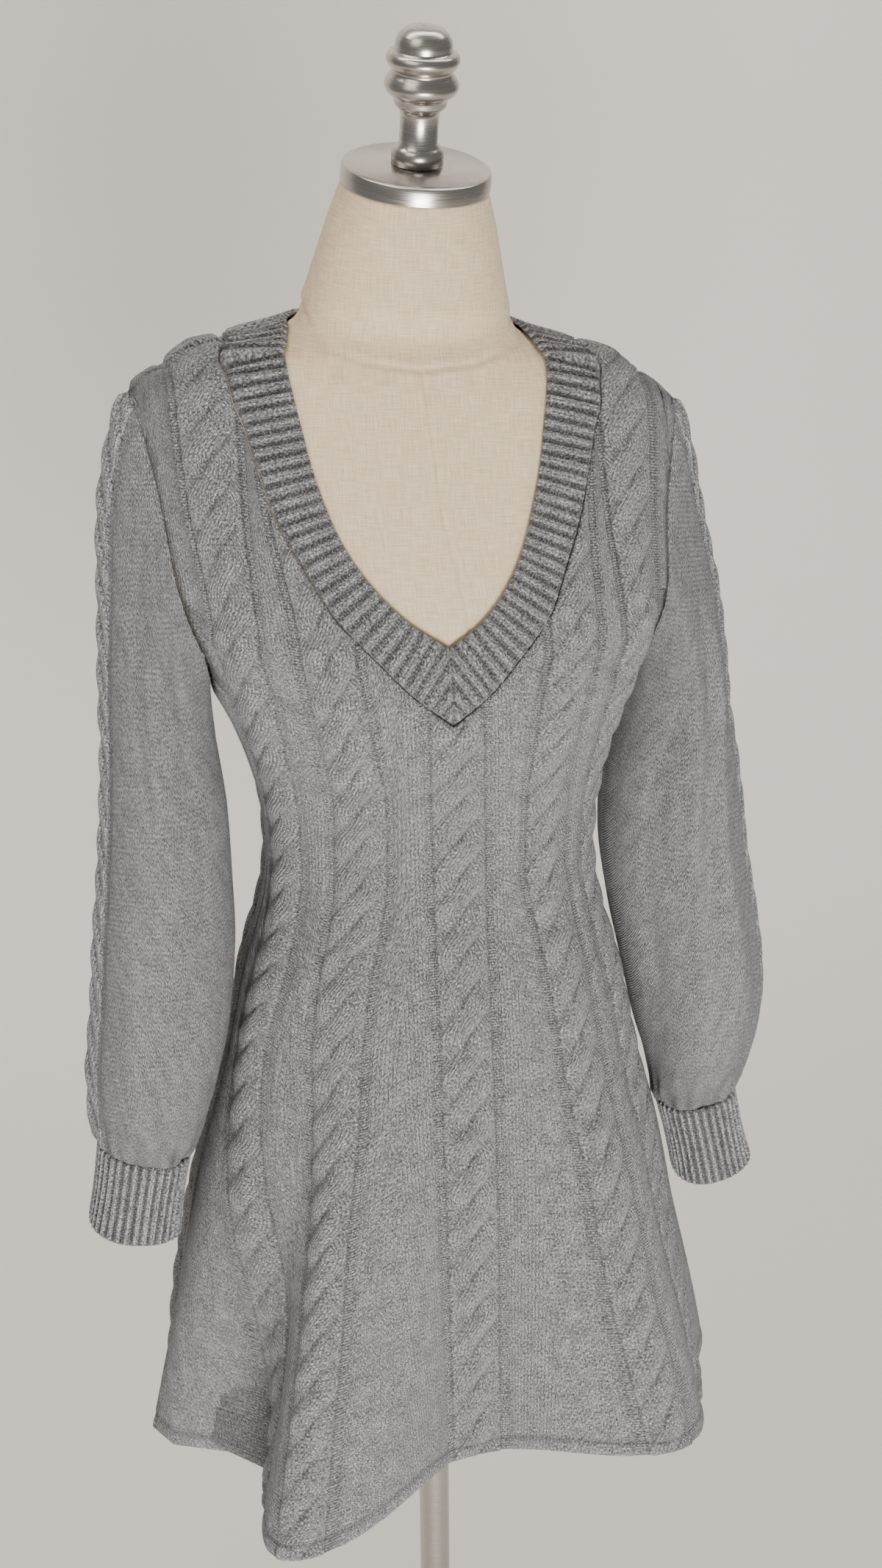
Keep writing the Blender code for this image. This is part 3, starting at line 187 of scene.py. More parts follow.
# Neckband edges: height of the inner and outer edge at each angle from the middle of the front.
Neck = namedtuple("Neck", "angle inner outer")
NECK = (
    Neck(0, 1.130, 1.069),
    Neck(11, 1.147, 1.090),
    Neck(22, 1.171, 1.118),
    Neck(33, 1.204, 1.148),
    Neck(42, 1.239, 1.182),
    Neck(51, 1.278, 1.215),
    Neck(58, 1.305, 1.248),
    Neck(65, 1.322, 1.281),
    Neck(74, 1.331, 1.309),
    Neck(90, 1.3365, 1.3225),
    Neck(120, 1.336, 1.317),
    Neck(150, 1.334, 1.303),
    Neck(180, 1.333, 1.296),
)

# Level sections of each sleeve below the underarm; distances from the form's middle plane.
Sleeve = namedtuple("Sleeve", "height middle half_width half_depth")
LEFT_SLEEVE = (
    Sleeve(1.030, 0.2008, 0.0408, 0.0560),
    Sleeve(0.980, 0.2013, 0.0458, 0.0600),
    Sleeve(0.920, 0.2030, 0.0495, 0.0640),
    Sleeve(0.860, 0.2063, 0.0528, 0.0670),
    Sleeve(0.800, 0.2123, 0.0523, 0.0680),
    Sleeve(0.760, 0.2195, 0.0495, 0.0650),
    Sleeve(0.725, 0.2250, 0.0440, 0.0570),
    Sleeve(0.700, 0.2290, 0.0390, 0.0450),
    Sleeve(0.688, 0.2310, 0.0350, 0.0385),
)
RIGHT_SLEEVE = (
    Sleeve(1.030, 0.1960, 0.0420, 0.0560),
    Sleeve(0.980, 0.1930, 0.0510, 0.0600),
    Sleeve(0.920, 0.1955, 0.0560, 0.0640),
    Sleeve(0.860, 0.2045, 0.0565, 0.0670),
    Sleeve(0.800, 0.2150, 0.0543, 0.0680),
    Sleeve(0.760, 0.2195, 0.0495, 0.0650),
    Sleeve(0.725, 0.2218, 0.0408, 0.0560),
    Sleeve(0.700, 0.2210, 0.0340, 0.0440),
    Sleeve(0.688, 0.2210, 0.0305, 0.0370),
)
HEAD_BEND = 0.5  # roundness of the sleeve head
CUFF_LENGTH = 0.070
LEFT_CUFF_LEAN = 0.012  # how far the cuff's lower end stands further out
RIGHT_CUFF_LEAN = 0.015
CUFF_TILT = 0.20  # the cuff's edges rise outwards
BAND_WIDTH = 0.034

# Leaning of the whole upper part, as it stands: sideways shift and the drop to one side.
Lean = namedtuple("Lean", "height shift drop")
LEAN = (
    Lean(0.980, 0.000, 0.000),
    Lean(1.120, -0.006, 0.040),
    Lean(1.220, -0.013, 0.070),
    Lean(1.330, -0.012, 0.070),
    Lean(1.450, -0.002, 0.070),
)

# Dress form: how far it lies inside the body surface.
Inset = namedtuple("Inset", "height depth")
INSET = (
    Inset(0.700, 0.0450),
    Inset(0.706, 0.0300),
    Inset(0.722, 0.0190),
    Inset(0.760, 0.0140),
    Inset(0.800, 0.0114),
    Inset(0.870, 0.0094),
    Inset(0.930, 0.0092),
    Inset(1.000, 0.0084),
    Inset(1.100, 0.0070),
    Inset(1.200, 0.0062),
    Inset(1.260, 0.0055),
    Inset(1.301, 0.0050),
    Inset(1.331, 0.0051),
    Inset(1.345, 0.0032),
    Inset(1.357, 0.0000),
    Inset(1.437, 0.0000),
)
FORM_BOTTOM = 0.7000
FORM_TOP = 1.4362
NECK_TILT = 0.15  # forward slope of the neck's cut top

# Metal parts, as (radius, height) from the top down.
CAP_PROFILE = ((0, 0.0148), (0.0500, 0.0142), (0.0530, 0.0128), (0.0540, 0.0100), (0.0540, 0.0), (0, 0.0))
FINIAL_PROFILE = (
    (0, 0.0984), (0.0110, 0.0965), (0.0180, 0.0912), (0.0205, 0.0840), (0.0205, 0.0812),
    (0.0245, 0.0788), (0.0263, 0.0745), (0.0245, 0.0702), (0.0220, 0.0659), (0.0245, 0.0616),
    (0.0265, 0.0563), (0.0245, 0.0511), (0.0195, 0.0468), (0.0185, 0.0420), (0.0145, 0.0382),
    (0.0138, 0.0344), (0.0138, 0.0143), (0.0165, 0.0119), (0.0187, 0.0095), (0.0187, 0.0), (0, 0.0),
)
SOCKET_TOP = 0.060
SOCKET_FLOOR = 0.008
BASE_PROFILE = (
    (0, SOCKET_FLOOR), (POLE_RADIUS + SEAM_GAP, SOCKET_FLOOR), (POLE_RADIUS + SEAM_GAP, SOCKET_TOP),
    (0.0200, SOCKET_TOP), (0.0200, 0.0140), (0.0300, 0.0110), (BASE_RADIUS - 0.004, 0.0100),
    (BASE_RADIUS, 0.0070), (BASE_RADIUS, 0.0), (0, 0.0),
)

# Seams of the linen cover: heights round the neck, and angles down the front.
NeckSeam = namedtuple("NeckSeam", "angle height")
NECK_SEAM = (
    NeckSeam(0, 1.3168),
    NeckSeam(35, 1.3215),
    NeckSeam(53, 1.3297),
    NeckSeam(67, 1.3374),
    NeckSeam(76, 1.3435),
    NeckSeam(90, 1.3490),
    NeckSeam(130, 1.3525),
    NeckSeam(180, 1.3525),
)
FrontSeam = namedtuple("FrontSeam", "height angle")
FRONT_SEAM = (FrontSeam(1.18, 7.5), FrontSeam(1.22, 5.0), FrontSeam(1.2643, 4.5), FrontSeam(1.3157, 2.0))

# Fineness of the shells
CABLE_STEP = 0.0017  # between columns of points over a cable
ROW_STEP = 0.0018
PLAIN_STEP = 0.0046  # on plain knit
BAND_STEP = 0.0010
BAND_ROWS = 17
CUFF_ROWS = 36
SLEEVE_COLUMNS = 96
INNER_ROWS = 6  # one inner row for this many outer rows

CREVICE_WIDTH = 0.0008  # in metres of height between two strands that meet
CREVICE_DEPTH = 0.0018
CREVICE_SHIFT = 0.0015  # its deepest place lies this far right of the cable's middle
CREVICE_REACH = 0.0075
PILLOW_HEIGHT = 0.0012  # felted wool between the strands
PAINTED_CREVICE_SHADE = 0.26  # painted shade: share of the wool's colour left at the bottom of a crevice
HEM_STITCH = 0.0115  # sewn line above the hem's edge
GATHERS = 17  # small waves of the sleeve where the cuff draws it in
FIBRE_WIDTH = 0.00007  # half of a loose fibre, drawn about twice as thick as a hair so that it shows

RIB_FUZZ_LENGTH = 0.0032
SLEEVE_FUZZ_LENGTH = 0.0040

# Names of the materials
KNITTED = "heather wool, cable knit"
RIBBED = "heather wool, ribbed"
FIBRES = "loose wool fibres"
LINEN = "unbleached linen, plain weave"
STEEL = "stainless steel, turned and brushed"
TUBE = "stainless steel, brushed tube"
PAINT = "matt emulsion paint"

# Knit: one stitch is a wale wide and a course high.
WALE = 0.0031
COURSE = 0.0021
STITCH_DEPTH = 0.0011
THREAD = 0.0011  # linen threads, drawn at twice their real spacing so that they show

# Creases: from and to are metres across and up the piece; depth is below 0 for a trough.
Crease = namedtuple("Crease", "from_across from_up to_across to_up half_width depth bow")
FRONT_CREASES = (
    Crease(-0.176, 0.640, -0.095, 0.690, 0.0070, -0.0020, 0.05),
    Crease(-0.170, 0.615, -0.105, 0.625, 0.0080, -0.0016, -0.06),
    Crease(0.175, 0.635, 0.100, 0.680, 0.0070, -0.0018, -0.05),
    Crease(0.172, 0.610, 0.110, 0.612, 0.0080, -0.0014, 0.06),
    Crease(-0.135, 0.505, -0.030, 0.480, 0.0100, -0.0011, 0.04),
    Crease(0.020, 0.470, 0.125, 0.500, 0.0100, -0.0012, -0.05),
    Crease(-0.120, 0.455, -0.045, 0.462, 0.0090, -0.0010, 0.05),
    Crease(0.045, 0.440, 0.130, 0.455, 0.0090, -0.0010, 0.04),
    Crease(-0.060, 0.330, -0.085, 0.030, 0.0160, -0.0040, 0.02),
    Crease(0.075, 0.300, 0.090, 0.020, 0.0180, -0.0030, -0.03),
    Crease(-0.110, 0.390, -0.165, 0.180, 0.0140, -0.0025, 0.03),
    Crease(0.150, 0.360, 0.215, 0.060, 0.0150, -0.0028, -0.02),
    Crease(0.022, 0.340, 0.030, 0.100, 0.0140, 0.0022, 0.02),
)
BACK_CREASES = (
    Crease(-0.172, 0.640, -0.100, 0.700, 0.0080, -0.0018, 0.05),
    Crease(0.170, 0.650, 0.095, 0.700, 0.0080, -0.0018, -0.04),
    Crease(-0.120, 0.500, -0.030, 0.470, 0.0100, -0.0014, 0.05),
    Crease(0.025, 0.468, 0.125, 0.492, 0.0100, -0.0014, -0.04),
    Crease(-0.110, 0.455, -0.020, 0.440, 0.0090, -0.0012, -0.05),
    Crease(0.040, 0.436, 0.120, 0.455, 0.0090, -0.0011, 0.05),
    Crease(-0.060, 0.340, -0.100, 0.040, 0.0170, -0.0035, 0.02),
    Crease(0.070, 0.310, 0.110, 0.030, 0.0170, -0.0032, -0.02),
    Crease(0.150, 0.330, 0.230, 0.060, 0.0150, -0.0025, -0.03),
    Crease(-0.160, 0.350, -0.230, 0.090, 0.0150, -0.0025, 0.03),
)
# On a sleeve, across runs from the cable by the front, and up runs down from the shoulder.
LEFT_SLEEVE_CREASES = (
    Crease(0.060, 0.020, 0.085, 0.260, 0.0120, -0.0035, 0.04),
    Crease(0.095, 0.080, 0.120, 0.330, 0.0110, 0.0030, -0.03),
    Crease(0.135, 0.030, 0.125, 0.200, 0.0090, -0.0040, 0.05),
    Crease(0.050, 0.300, 0.075, 0.540, 0.0130, 0.0026, 0.03),
    Crease(0.100, 0.360, 0.090, 0.560, 0.0110, -0.0030, -0.02),
    Crease(-0.060, 0.050, -0.090, 0.320, 0.0130, -0.0034, -0.03),
    Crease(-0.110, 0.150, -0.100, 0.480, 0.0120, 0.0028, 0.03),
    Crease(-0.075, 0.420, -0.065, 0.570, 0.0110, -0.0028, 0.03),
    Crease(0.030, 0.560, 0.110, 0.530, 0.0080, -0.0016, 0.08),
    Crease(-0.110, 0.520, -0.040, 0.555, 0.0080, -0.0016, 0.08),
)
RIGHT_SLEEVE_CREASES = (
    Crease(0.062, 0.060, 0.070, 0.480, 0.0100, 0.0050, 0.02),
    Crease(0.110, 0.080, 0.118, 0.460, 0.0100, 0.0055, -0.02),
    Crease(0.088, 0.040, 0.094, 0.420, 0.0110, -0.0030, 0.01),
    Crease(0.140, 0.060, 0.148, 0.400, 0.0120, -0.0055, 0.02),
    Crease(0.040, 0.330, 0.050, 0.560, 0.0100, -0.0030, 0.03),
    Crease(0.085, 0.470, 0.100, 0.575, 0.0100, -0.0035, 0.03),
    Crease(-0.060, 0.060, -0.085, 0.340, 0.0130, -0.0034, -0.03),
    Crease(-0.115, 0.140, -0.105, 0.470, 0.0120, 0.0030, 0.03),
    Crease(-0.075, 0.400, -0.060, 0.565, 0.0110, -0.0032, 0.03),
    Crease(-0.100, 0.530, -0.035, 0.550, 0.0080, -0.0016, 0.08),
)

# Camera and room
CAMERA_DISTANCE = 2.10
CAMERA_HEIGHT = 1.824
CAMERA_AZIMUTH = -11.0
CAMERA_PITCH = 22.0
CAMERA_ROLL = 0.64
PHOTO_HEIGHT = 2133
FOCAL_PIXELS = 4000
SHIFT_PIXELS = 20
SENSOR = 36.0


# ---------------------------------------------------------------- curves through the tables
def smooth_through(at, xs, ys):
    """Monotone cubic through a table, so that nothing bulges between two rows."""
    at = np.asarray(at, float)
    steps = np.diff(xs)
    slopes = np.diff(ys) / steps
    tangents = np.concatenate([slopes[:1], np.zeros(len(xs) - 2), slopes[-1:]])
    before, after = slopes[:-1], slopes[1:]
    same = before * after > 0
    tangents[1:-1][same] = 2 * before[same] * after[same] / (before + after)[same]
    at = np.clip(at, xs[0], xs[-1])
    k = np.clip(np.searchsorted(xs, at) - 1, 0, len(xs) - 2)
    t = (at - xs[k]) / steps[k]
    rise = t * t * (3 - 2 * t)
    lead = t * (1 - t) ** 2 * steps[k] * tangents[k]
    tail = t * t * (t - 1) * steps[k] * tangents[k + 1]
    return ys[k] * (1 - rise) + ys[k + 1] * rise + lead + tail


@lru_cache
def table_column(table, name, key):
    rows = sorted(table, key=lambda row: getattr(row, key))
    return np.array([getattr(row, key) for row in rows]), np.array([getattr(row, name) for row in rows])


def column(table, name, at, key="height"):
    return smooth_through(at, *table_column(table, name, key))


def smoothstep(t):
    t = np.clip(t, 0, 1)
    return t * t * (3 - 2 * t)


# ---------------------------------------------------------------- body surface
def fold_depth(angle, height):
    """How far the skirt's folds stand out from the plain section."""
    out = np.zeros(np.broadcast(angle, height).shape)
    for fold in FOLDS:
        away = (angle - radians(fold.angle) + pi) % (2 * pi) - pi
        spread = np.radians(np.where(away < 0, fold.spread_left, fold.spread_right))
        grown = np.clip((fold.start - height) / (fold.start - HEM_HEIGHT), 0, 1) ** 1.35
        out += fold.depth * grown * np.exp(-0.5 * (away / spread) ** 2)
    return out


def body_point(angle, height, folds=1.0):
    """A point of the body surface, at an angle from the front (-Y) towards +X."""
    angle = np.asarray(angle, float)
    height = np.asarray(height, float)
    half_width = column(BODY, "half_width", height)
    depth = np.where(np.cos(angle) > 0, column(BODY, "front", height), column(BODY, "back", height))
    across = np.abs(np.sin(angle)) / half_width
    along = np.abs(np.cos(angle)) / depth
    radius = (across**SQUARENESS + along**SQUARENESS) ** (-1 / SQUARENESS)
    radius = radius + folds * fold_depth(angle, height)
    shape = np.broadcast(angle, height).shape
    return np.stack(
        [radius * np.sin(angle), -radius * np.cos(angle), np.broadcast_to(height, shape)], axis=-1
    )


def body_normal(angle, height, folds=1.0):
    step = 1e-4
    around = body_point(angle + step, height, folds) - body_point(angle - step, height, folds)
    up = body_point(angle, height + step, folds) - body_point(angle, height - step, folds)
    normal = np.cross(around, up)
    return normal / np.linalg.norm(normal, axis=-1, keepdims=True)


def lean(points):
    """Moves points as the upper part leans: sideways, and lower on its +X side."""
    points = np.array(points, float).reshape(-1, 3)
    height = points[:, 2]
    shift = column(LEAN, "shift", height)
    drop = column(LEAN, "drop", height)
    points[:, 2] -= drop * points[:, 0]
    points[:, 0] += shift
    return points


# ---------------------------------------------------------------- panels
CABLE_LINES = (
    (-1, "outer_left", OUTER_LABEL),
    (-1, "flank_left", FLANK_LABEL),
    (1, "middle", 0.0),
    (1, "flank_right", FLANK_LABEL),
    (1, "outer_right", OUTER_LABEL),
)


def cable_lines(cables, height):
    """Labels of the cables' middle lines and channel edges, and how far along the cloth they lie."""
    labels, arcs = [], []
    for sign, name, middle in CABLE_LINES:
        arc = sign * column(cables, name, height)
        for away in (-CHANNEL_EDGE, 0, CHANNEL_EDGE):
            labels.append(sign * middle + away)
            arcs.append(arc + away)
    return np.array(labels), np.array(arcs)


class Panel:
    """Front or back. Its own coordinates are a label across and the cloth's length up from the hem."""

    def __init__(self, back, cables):
        self.back = back
        self.cables = cables
        self.turns = np.radians(np.linspace(-180, 180, 721))
        self.labels = np.linspace(-EDGE_LABEL, EDGE_LABEL, 149)
        points, arc = self.ring(YOKE_HEIGHT)
        line_labels, line_arcs = cable_lines(cables, YOKE_HEIGHT)
        rises = np.repeat([-OUTER_TOP_X, -FLANK_TOP_X, 0, FLANK_TOP_X, OUTER_TOP_X], 3)
        rises = rises + line_labels - np.repeat(CABLE_LABELS, 3)
        line_labels = [-EDGE_LABEL, *line_labels, EDGE_LABEL]
        line_x = [-SHOULDER_X, *np.interp(line_arcs, arc, points[:, 0]), SHOULDER_X]
        self.yoke_x = np.interp(self.labels, line_labels, line_x)
        self.top_x = np.interp(self.labels, line_labels, [-SHOULDER_X, *rises, SHOULDER_X])
        low = np.arange(HEM_HEIGHT, YOKE_HEIGHT, 0.006)
        rise = 1 - (1 - np.linspace(0, 1, 80)) ** 2.5
        tops = self.tops()
        self.heights = np.concatenate(
            [np.repeat(low[:, None], len(tops), axis=1), YOKE_HEIGHT + rise[:, None] * (tops - YOKE_HEIGHT)]
        )
        below = [self.skirt_offsets(height) for height in low]
        high = self.heights[len(low) :]
        above = self.offset_of_x(self.x_at(high), high)
        self.offsets = np.concatenate([below, above])
        self.points = body_point(self.angle(self.offsets), self.heights)
        steps = np.linalg.norm(np.diff(self.points, axis=0), axis=-1)
        self.lengths = np.concatenate([np.zeros((1, len(tops))), np.cumsum(steps, axis=0)])

    def angle(self, offset):
        """Angle from the front, for an offset angle from this panel's middle line."""
        return pi - offset if self.back else offset

    def ring(self, height):
        points = body_point(self.angle(self.turns), height)
        arc = np.concatenate([[0], np.cumsum(np.hypot(*np.diff(points[:, :2], axis=0).T))])
        return points, arc - np.interp(0, self.turns, arc)

    def x_at(self, height):
        """Where the labels lie above the yoke: they run straight to their places on the shoulder."""
        risen = smoothstep((height - YOKE_HEIGHT) / (SHOULDER_HEIGHT - YOKE_HEIGHT))
        return self.yoke_x + (self.top_x - self.yoke_x) * risen

    def tops(self):
        """Height at which each label reaches the shoulder's ridge, or the neck."""
        fine = np.arange(SHOULDER_HEIGHT, NECK_TOP, 0.0001)
        return np.interp(-np.abs(self.top_x), -column(BODY, "half_width", fine), fine)

    def offset_of_x(self, x, height):
        """Offset angle of the surface point this far from the middle plane."""
        depth = column(BODY, "back" if self.back else "front", height)
        share = np.minimum(1, np.abs(x) / column(BODY, "half_width", height))
        return np.arctan2(x, depth * (1 - share**SQUARENESS) ** (1 / SQUARENESS))

    def skirt_offsets(self, height):
        """Offset angle of every label at a height below the yoke."""
        points, arc = self.ring(height)
        labels, arcs = cable_lines(self.cables, height)
        ends = np.interp([-pi / 2, pi / 2], self.turns, arc)
        labels = np.concatenate([[-EDGE_LABEL], labels, [EDGE_LABEL]])
        arcs = np.concatenate([ends[:1], arcs, ends[1:]])
        return np.interp(self.labels, labels, np.interp(arcs, arc, self.turns))

    def between(self, label, *tables):
        """The columns of these tables at this label."""
        place = (label + EDGE_LABEL) / (self.labels[1] - self.labels[0])
        k = int(np.clip(place, 0, len(self.labels) - 2))
        share = place - k
        return [table[:, k] * (1 - share) + table[:, k + 1] * share for table in tables]

    def length_near(self, label, point):
        """Length up this label's line at which it passes closest to a point."""
        lengths, points = self.between(label, self.lengths, self.points)
        along = np.diff(points, axis=0)
        share = ((point - points[:-1]) * along).sum(1) / (along**2).sum(1)
        share = np.clip(share, 0, 1)
        away = np.linalg.norm(points[:-1] + along * share[:, None] - point, axis=1)
        k = int(np.argmin(away))
        return float(lengths[k] + share[k] * (lengths[k + 1] - lengths[k]))

    def label_of(self, offset, height):
        if height > YOKE_HEIGHT:
            x = body_point(self.angle(offset), height)[0]
            return float(np.interp(x, self.x_at(height), self.labels))
        return float(np.interp(offset, self.skirt_offsets(height), self.labels))


def edge_heights(low, high, step):
    return np.linspace(low, high, max(2, round((high - low) / step) + 1))


def armhole_edge():
    """(offset angle, height) down one armhole edge, from the underarm to the shoulder."""
    heights = np.concatenate(
        [
            [UNDERARM, 1.069, 1.076, 1.086],
            edge_heights(1.10, 1.26, 0.016),
            [1.270, 1.278, 1.283, SHOULDER_HEIGHT],
        ]
    )
    return [(radians(float(column(ARMHOLE, "angle", height))), height) for height in heights]


def shoulder_edge():
    """(x, height) down the shoulder seam, from the armhole to the neckband."""
    fine = np.linspace(SHOULDER_HEIGHT, NECK_TOP, 400)
    widths = column(BODY, "half_width", fine)
    xs = np.linspace(SHOULDER_X, NECK_OUTER_X, 9)
    return [(x, float(np.interp(-x, -widths, fine))) for x in xs]


def neck_height(angle, name):
    turned = (np.asarray(angle) + pi) % (2 * pi) - pi
    return column(NECK, name, np.degrees(np.abs(turned)), key="angle")


def neck_edge(back, pieces):
    """Offset angles along the outer neck edge from -X to +X, evenly spaced by length."""
    angles = np.linspace(-pi / 2, pi / 2, 361)
    around = pi - angles if back else angles
    points = body_point(around, neck_height(around, "outer"))
    arc = np.concatenate([[0], np.cumsum(np.linalg.norm(np.diff(points, axis=0), axis=-1))])
    middle = np.interp(0, angles, arc)
    places = np.concatenate(
        [np.linspace(0, middle, pieces + 1), np.linspace(middle, arc[-1], pieces + 1)[1:]]
    )
    angles = np.interp(places, arc, angles)
    return list(zip(angles, neck_height(pi - angles if back else angles, "outer")))


# ---------------------------------------------------------------- sleeves and cuffs
def sleeve_ring(table, height, shares):
    """A level ring of a sleeve at +X: shares of its length run from the outer side by the front."""
    turn = np.linspace(0, 2 * pi, 361)
    middle = float(column(table, "middle", height))
    half_width = float(column(table, "half_width", height))
    half_depth = float(column(table, "half_depth", height))
    radius = (
        (np.abs(np.cos(turn)) / half_width) ** SQUARENESS
        + (np.abs(np.sin(turn)) / half_depth) ** SQUARENESS
    ) ** (-1 / SQUARENESS)
    x = middle + radius * np.cos(turn)
    y = -radius * np.sin(turn)
    arc = np.concatenate([[0], np.cumsum(np.hypot(np.diff(x), np.diff(y)))])
    places = np.mod(shares, 1) * arc[-1]
    level = np.full(len(shares), height)
    return np.stack([np.interp(places, arc, x), np.interp(places, arc, y), level], axis=1)


class ArmholeLoop:
    """The closed seam line of the +X armhole, from the shoulder by the front and the underarm."""

    def __init__(self, table):
        edge = armhole_edge()
        angles = [a for a, _ in edge[::-1]] + [pi - a for a, _ in edge[1:-1]]
        heights = [z for _, z in edge[::-1]] + [z for _, z in edge[1:-1]]
        angles, heights = np.array(angles), np.array(heights)
        self.points = body_point(angles, heights, 0.0)
        self.normals = body_normal(angles, heights, 0.0)
        steps = np.linalg.norm(np.diff(self.points, axis=0, append=self.points[:1]), axis=-1)
        half = len(edge) - 1
        front = np.concatenate([[0], np.cumsum(steps[:half])])
        rear = np.cumsum(steps[half:])
        self.shares = np.concatenate([0.5 * front / front[-1], 0.5 + 0.5 * rear[:-1] / rear[-1]])
        ahead = np.roll(self.points, -1, axis=0) - np.roll(self.points, 1, axis=0)
        into = np.cross(self.normals, ahead)
        into /= np.linalg.norm(into, axis=1, keepdims=True)
        middle = self.points.mean(axis=0)
        into *= np.sign(((middle - self.points) * into).sum(1))[:, None]
        target = sleeve_ring(table, table[0].height, self.shares)
        away = target - self.points
        away /= np.linalg.norm(away, axis=1, keepdims=True)
        lift = 0.15 + 0.3 * smoothstep((self.points[:, 2] - UNDERARM) / 0.06)
        leaving = away + lift[:, None] * np.array([1.0, 0, 0])
        self.leaving = leaving / np.linalg.norm(leaving, axis=1, keepdims=True)
        opened = np.arctan2((self.leaving * self.normals).sum(1), (self.leaving * into).sum(1))
        self.start = self.points + 1.4 * SEAM_GAP * (
            into * np.cos(opened / 2)[:, None] + self.normals * np.sin(opened / 2)[:, None]
        )

    def at(self, shares, values):
        places = np.concatenate([self.shares, [1.0]])
        ring = np.concatenate([values, values[:1]])
        return np.stack([np.interp(np.mod(shares, 1), places, ring[:, i]) for i in range(3)], axis=1)


class SleeveSheet:
    """A sleeve's outer surface at +X, as a fine net from the armhole to the cuff."""

    def __init__(self, table):
        loop = ArmholeLoop(table)
        shares = np.arange(SLEEVE_COLUMNS + 1) / SLEEVE_COLUMNS
        start = loop.at(shares, loop.start)
        leaving = loop.at(shares, loop.leaving)
        end = sleeve_ring(table, table[0].height, shares)
        size = np.linalg.norm(end - start, axis=1, keepdims=True)
        rows = []
        for t in np.linspace(0, 1, 25)[:-1]:
            rise = t * t * (3 - 2 * t)
            lead = t * (1 - t) ** 2
            tail = t * t * (t - 1)
            down = np.array([[0, 0, -1.0]])
            bend = HEAD_BEND * size * (lead * leaving + tail * down)
            rows.append(start * (1 - rise) + end * rise + bend)
        for height in np.linspace(table[0].height, table[-1].height, 58):
            rows.append(sleeve_ring(table, height, shares))
        self.points = np.array(rows)
        tilt = CUFF_TILT * smoothstep((0.80 - self.points[..., 2]) / 0.11)
        self.points[..., 2] += tilt * (self.points[..., 0] - table[-1].middle)
        steps = np.linalg.norm(np.diff(self.points, axis=0), axis=-1)
        self.lengths = np.concatenate([np.zeros((1, len(shares))), np.cumsum(steps, axis=0)])
        down = np.gradient(self.points, axis=0)
        around = np.roll(self.points[:, :-1], -1, axis=1) - np.roll(self.points[:, :-1], 1, axis=1)
        around = np.concatenate([around, around[:, :1]], axis=1)
        normals = np.cross(around, down)
        self.normals = normals / np.linalg.norm(normals, axis=-1, keepdims=True)
        outward = (self.normals * (self.points - self.points.mean(axis=1, keepdims=True))).sum()
        self.normals *= np.sign(outward)
        self.normals[-1, :, 2] = CUFF_TILT * self.normals[-1, :, 0]

# ---------------------------------------------------------------- knitted relief
def strands(offset, crossings):
    """Heights of a cable's two strands over plain knit, and how far aside each one's middle lies."""
    heights, sides = [], []
    for strand in (0, 1):
        turn = pi * (crossings + strand)
        side = -STRAND_SWING * np.cos(turn)
        away = np.abs((offset - side) / STRAND_HALF)
        hump = np.clip(1 - away**2.4, 0, None) ** 0.6
        heights.append(hump * (STRAND_HEIGHT + STRAND_LIFT * np.sin(turn)))
        sides.append(side)
    return np.array(heights), np.array(sides)


def cable_relief(offset, crossings, channel_depth):
    """A felted cable between its purl channels; the crevice shows below each strand that passes in front."""
    heights, _ = strands(offset, crossings)
    middle = np.exp(-(((offset - CREVICE_SHIFT) / CREVICE_REACH) ** 2))
    blend = 0.0003 + 0.0050 * (1 - middle)
    first, second = heights
    merged = 0.5 * (first + second + np.hypot(first - second, blend) - blend)
    pillow = PILLOW_HEIGHT * np.clip(1 - (np.abs(offset) / CHANNEL_START) ** 3, 0, None) ** 0.7
    close = np.exp(-(((first - second) / CREVICE_WIDTH) ** 2)) * (np.minimum(first, second) > 0.0002)
    crevice = CREVICE_DEPTH * close * middle
    away = np.abs(offset)
    channel = smoothstep((away - CHANNEL_START + 0.0025) / 0.0025)
    channel = channel * (1 - smoothstep((away - CHANNEL_HALF) / 0.0016))
    return 0.8 * merged + pillow - crevice - channel_depth * channel


def painted_shading_of(relief, offset, crossings, channel_depth):
    """How far a place lies below what is 3.5 mm round it: 1 in a crevice, -1 on a crest. It drives the
    painted shade in crevices and the painted highlight on crests.
    """
    ring = [
        cable_relief(offset + 0.0035 * cos(t), crossings + 0.0035 * sin(t) / CABLE_PITCH, channel_depth)
        for t in np.linspace(0, 2 * pi, 8, endpoint=False)
    ]
    return np.clip((np.mean(ring, axis=0) - relief) / 0.0013, -1, 1)


def crease_height(creases, across, up):
    """Soft troughs (below 0) and ridges at places given in metres across and up the piece."""
    out = np.zeros(np.shape(across))
    for crease in creases:
        run = np.array([crease.to_across - crease.from_across, crease.to_up - crease.from_up])
        length = np.hypot(*run)
        along = ((across - crease.from_across) * run[0] + (up - crease.from_up) * run[1]) / length**2
        bow = crease.bow * length * np.sin(pi * np.clip(along, 0, 1))
        aside = ((across - crease.from_across) * run[1] - (up - crease.from_up) * run[0]) / length - bow
        fade = smoothstep(along / 0.35) * smoothstep((1 - along) / 0.45)
        swell = 1 + 0.25 * np.sin(9 * along + 5 * crease.from_up)
        out += crease.depth * fade * swell * np.exp(-((aside / (crease.half_width * swell)) ** 2))
    return out


# ---------------------------------------------------------------- mesh helpers
def linear(hex_code):
    """Linear colour of an sRGB hex value."""
    parts = [int(hex_code[i : i + 2], 16) / 255 for i in (0, 2, 4)]
    return tuple(p / 12.92 if p <= 0.04045 else ((p + 0.055) / 1.055) ** 2.4 for p in parts)


def make_piece(name, points, faces, material, stands_for=None):
    """A smooth-shaded piece that rides with the whole part."""
    mesh = bpy.data.meshes.new(name)
    mesh.from_pydata(points.tolist(), [], faces)
    mesh.shade_smooth()
    obj = bpy.data.objects.new(name, mesh)
    join_part(obj, material, stands_for)
    return obj


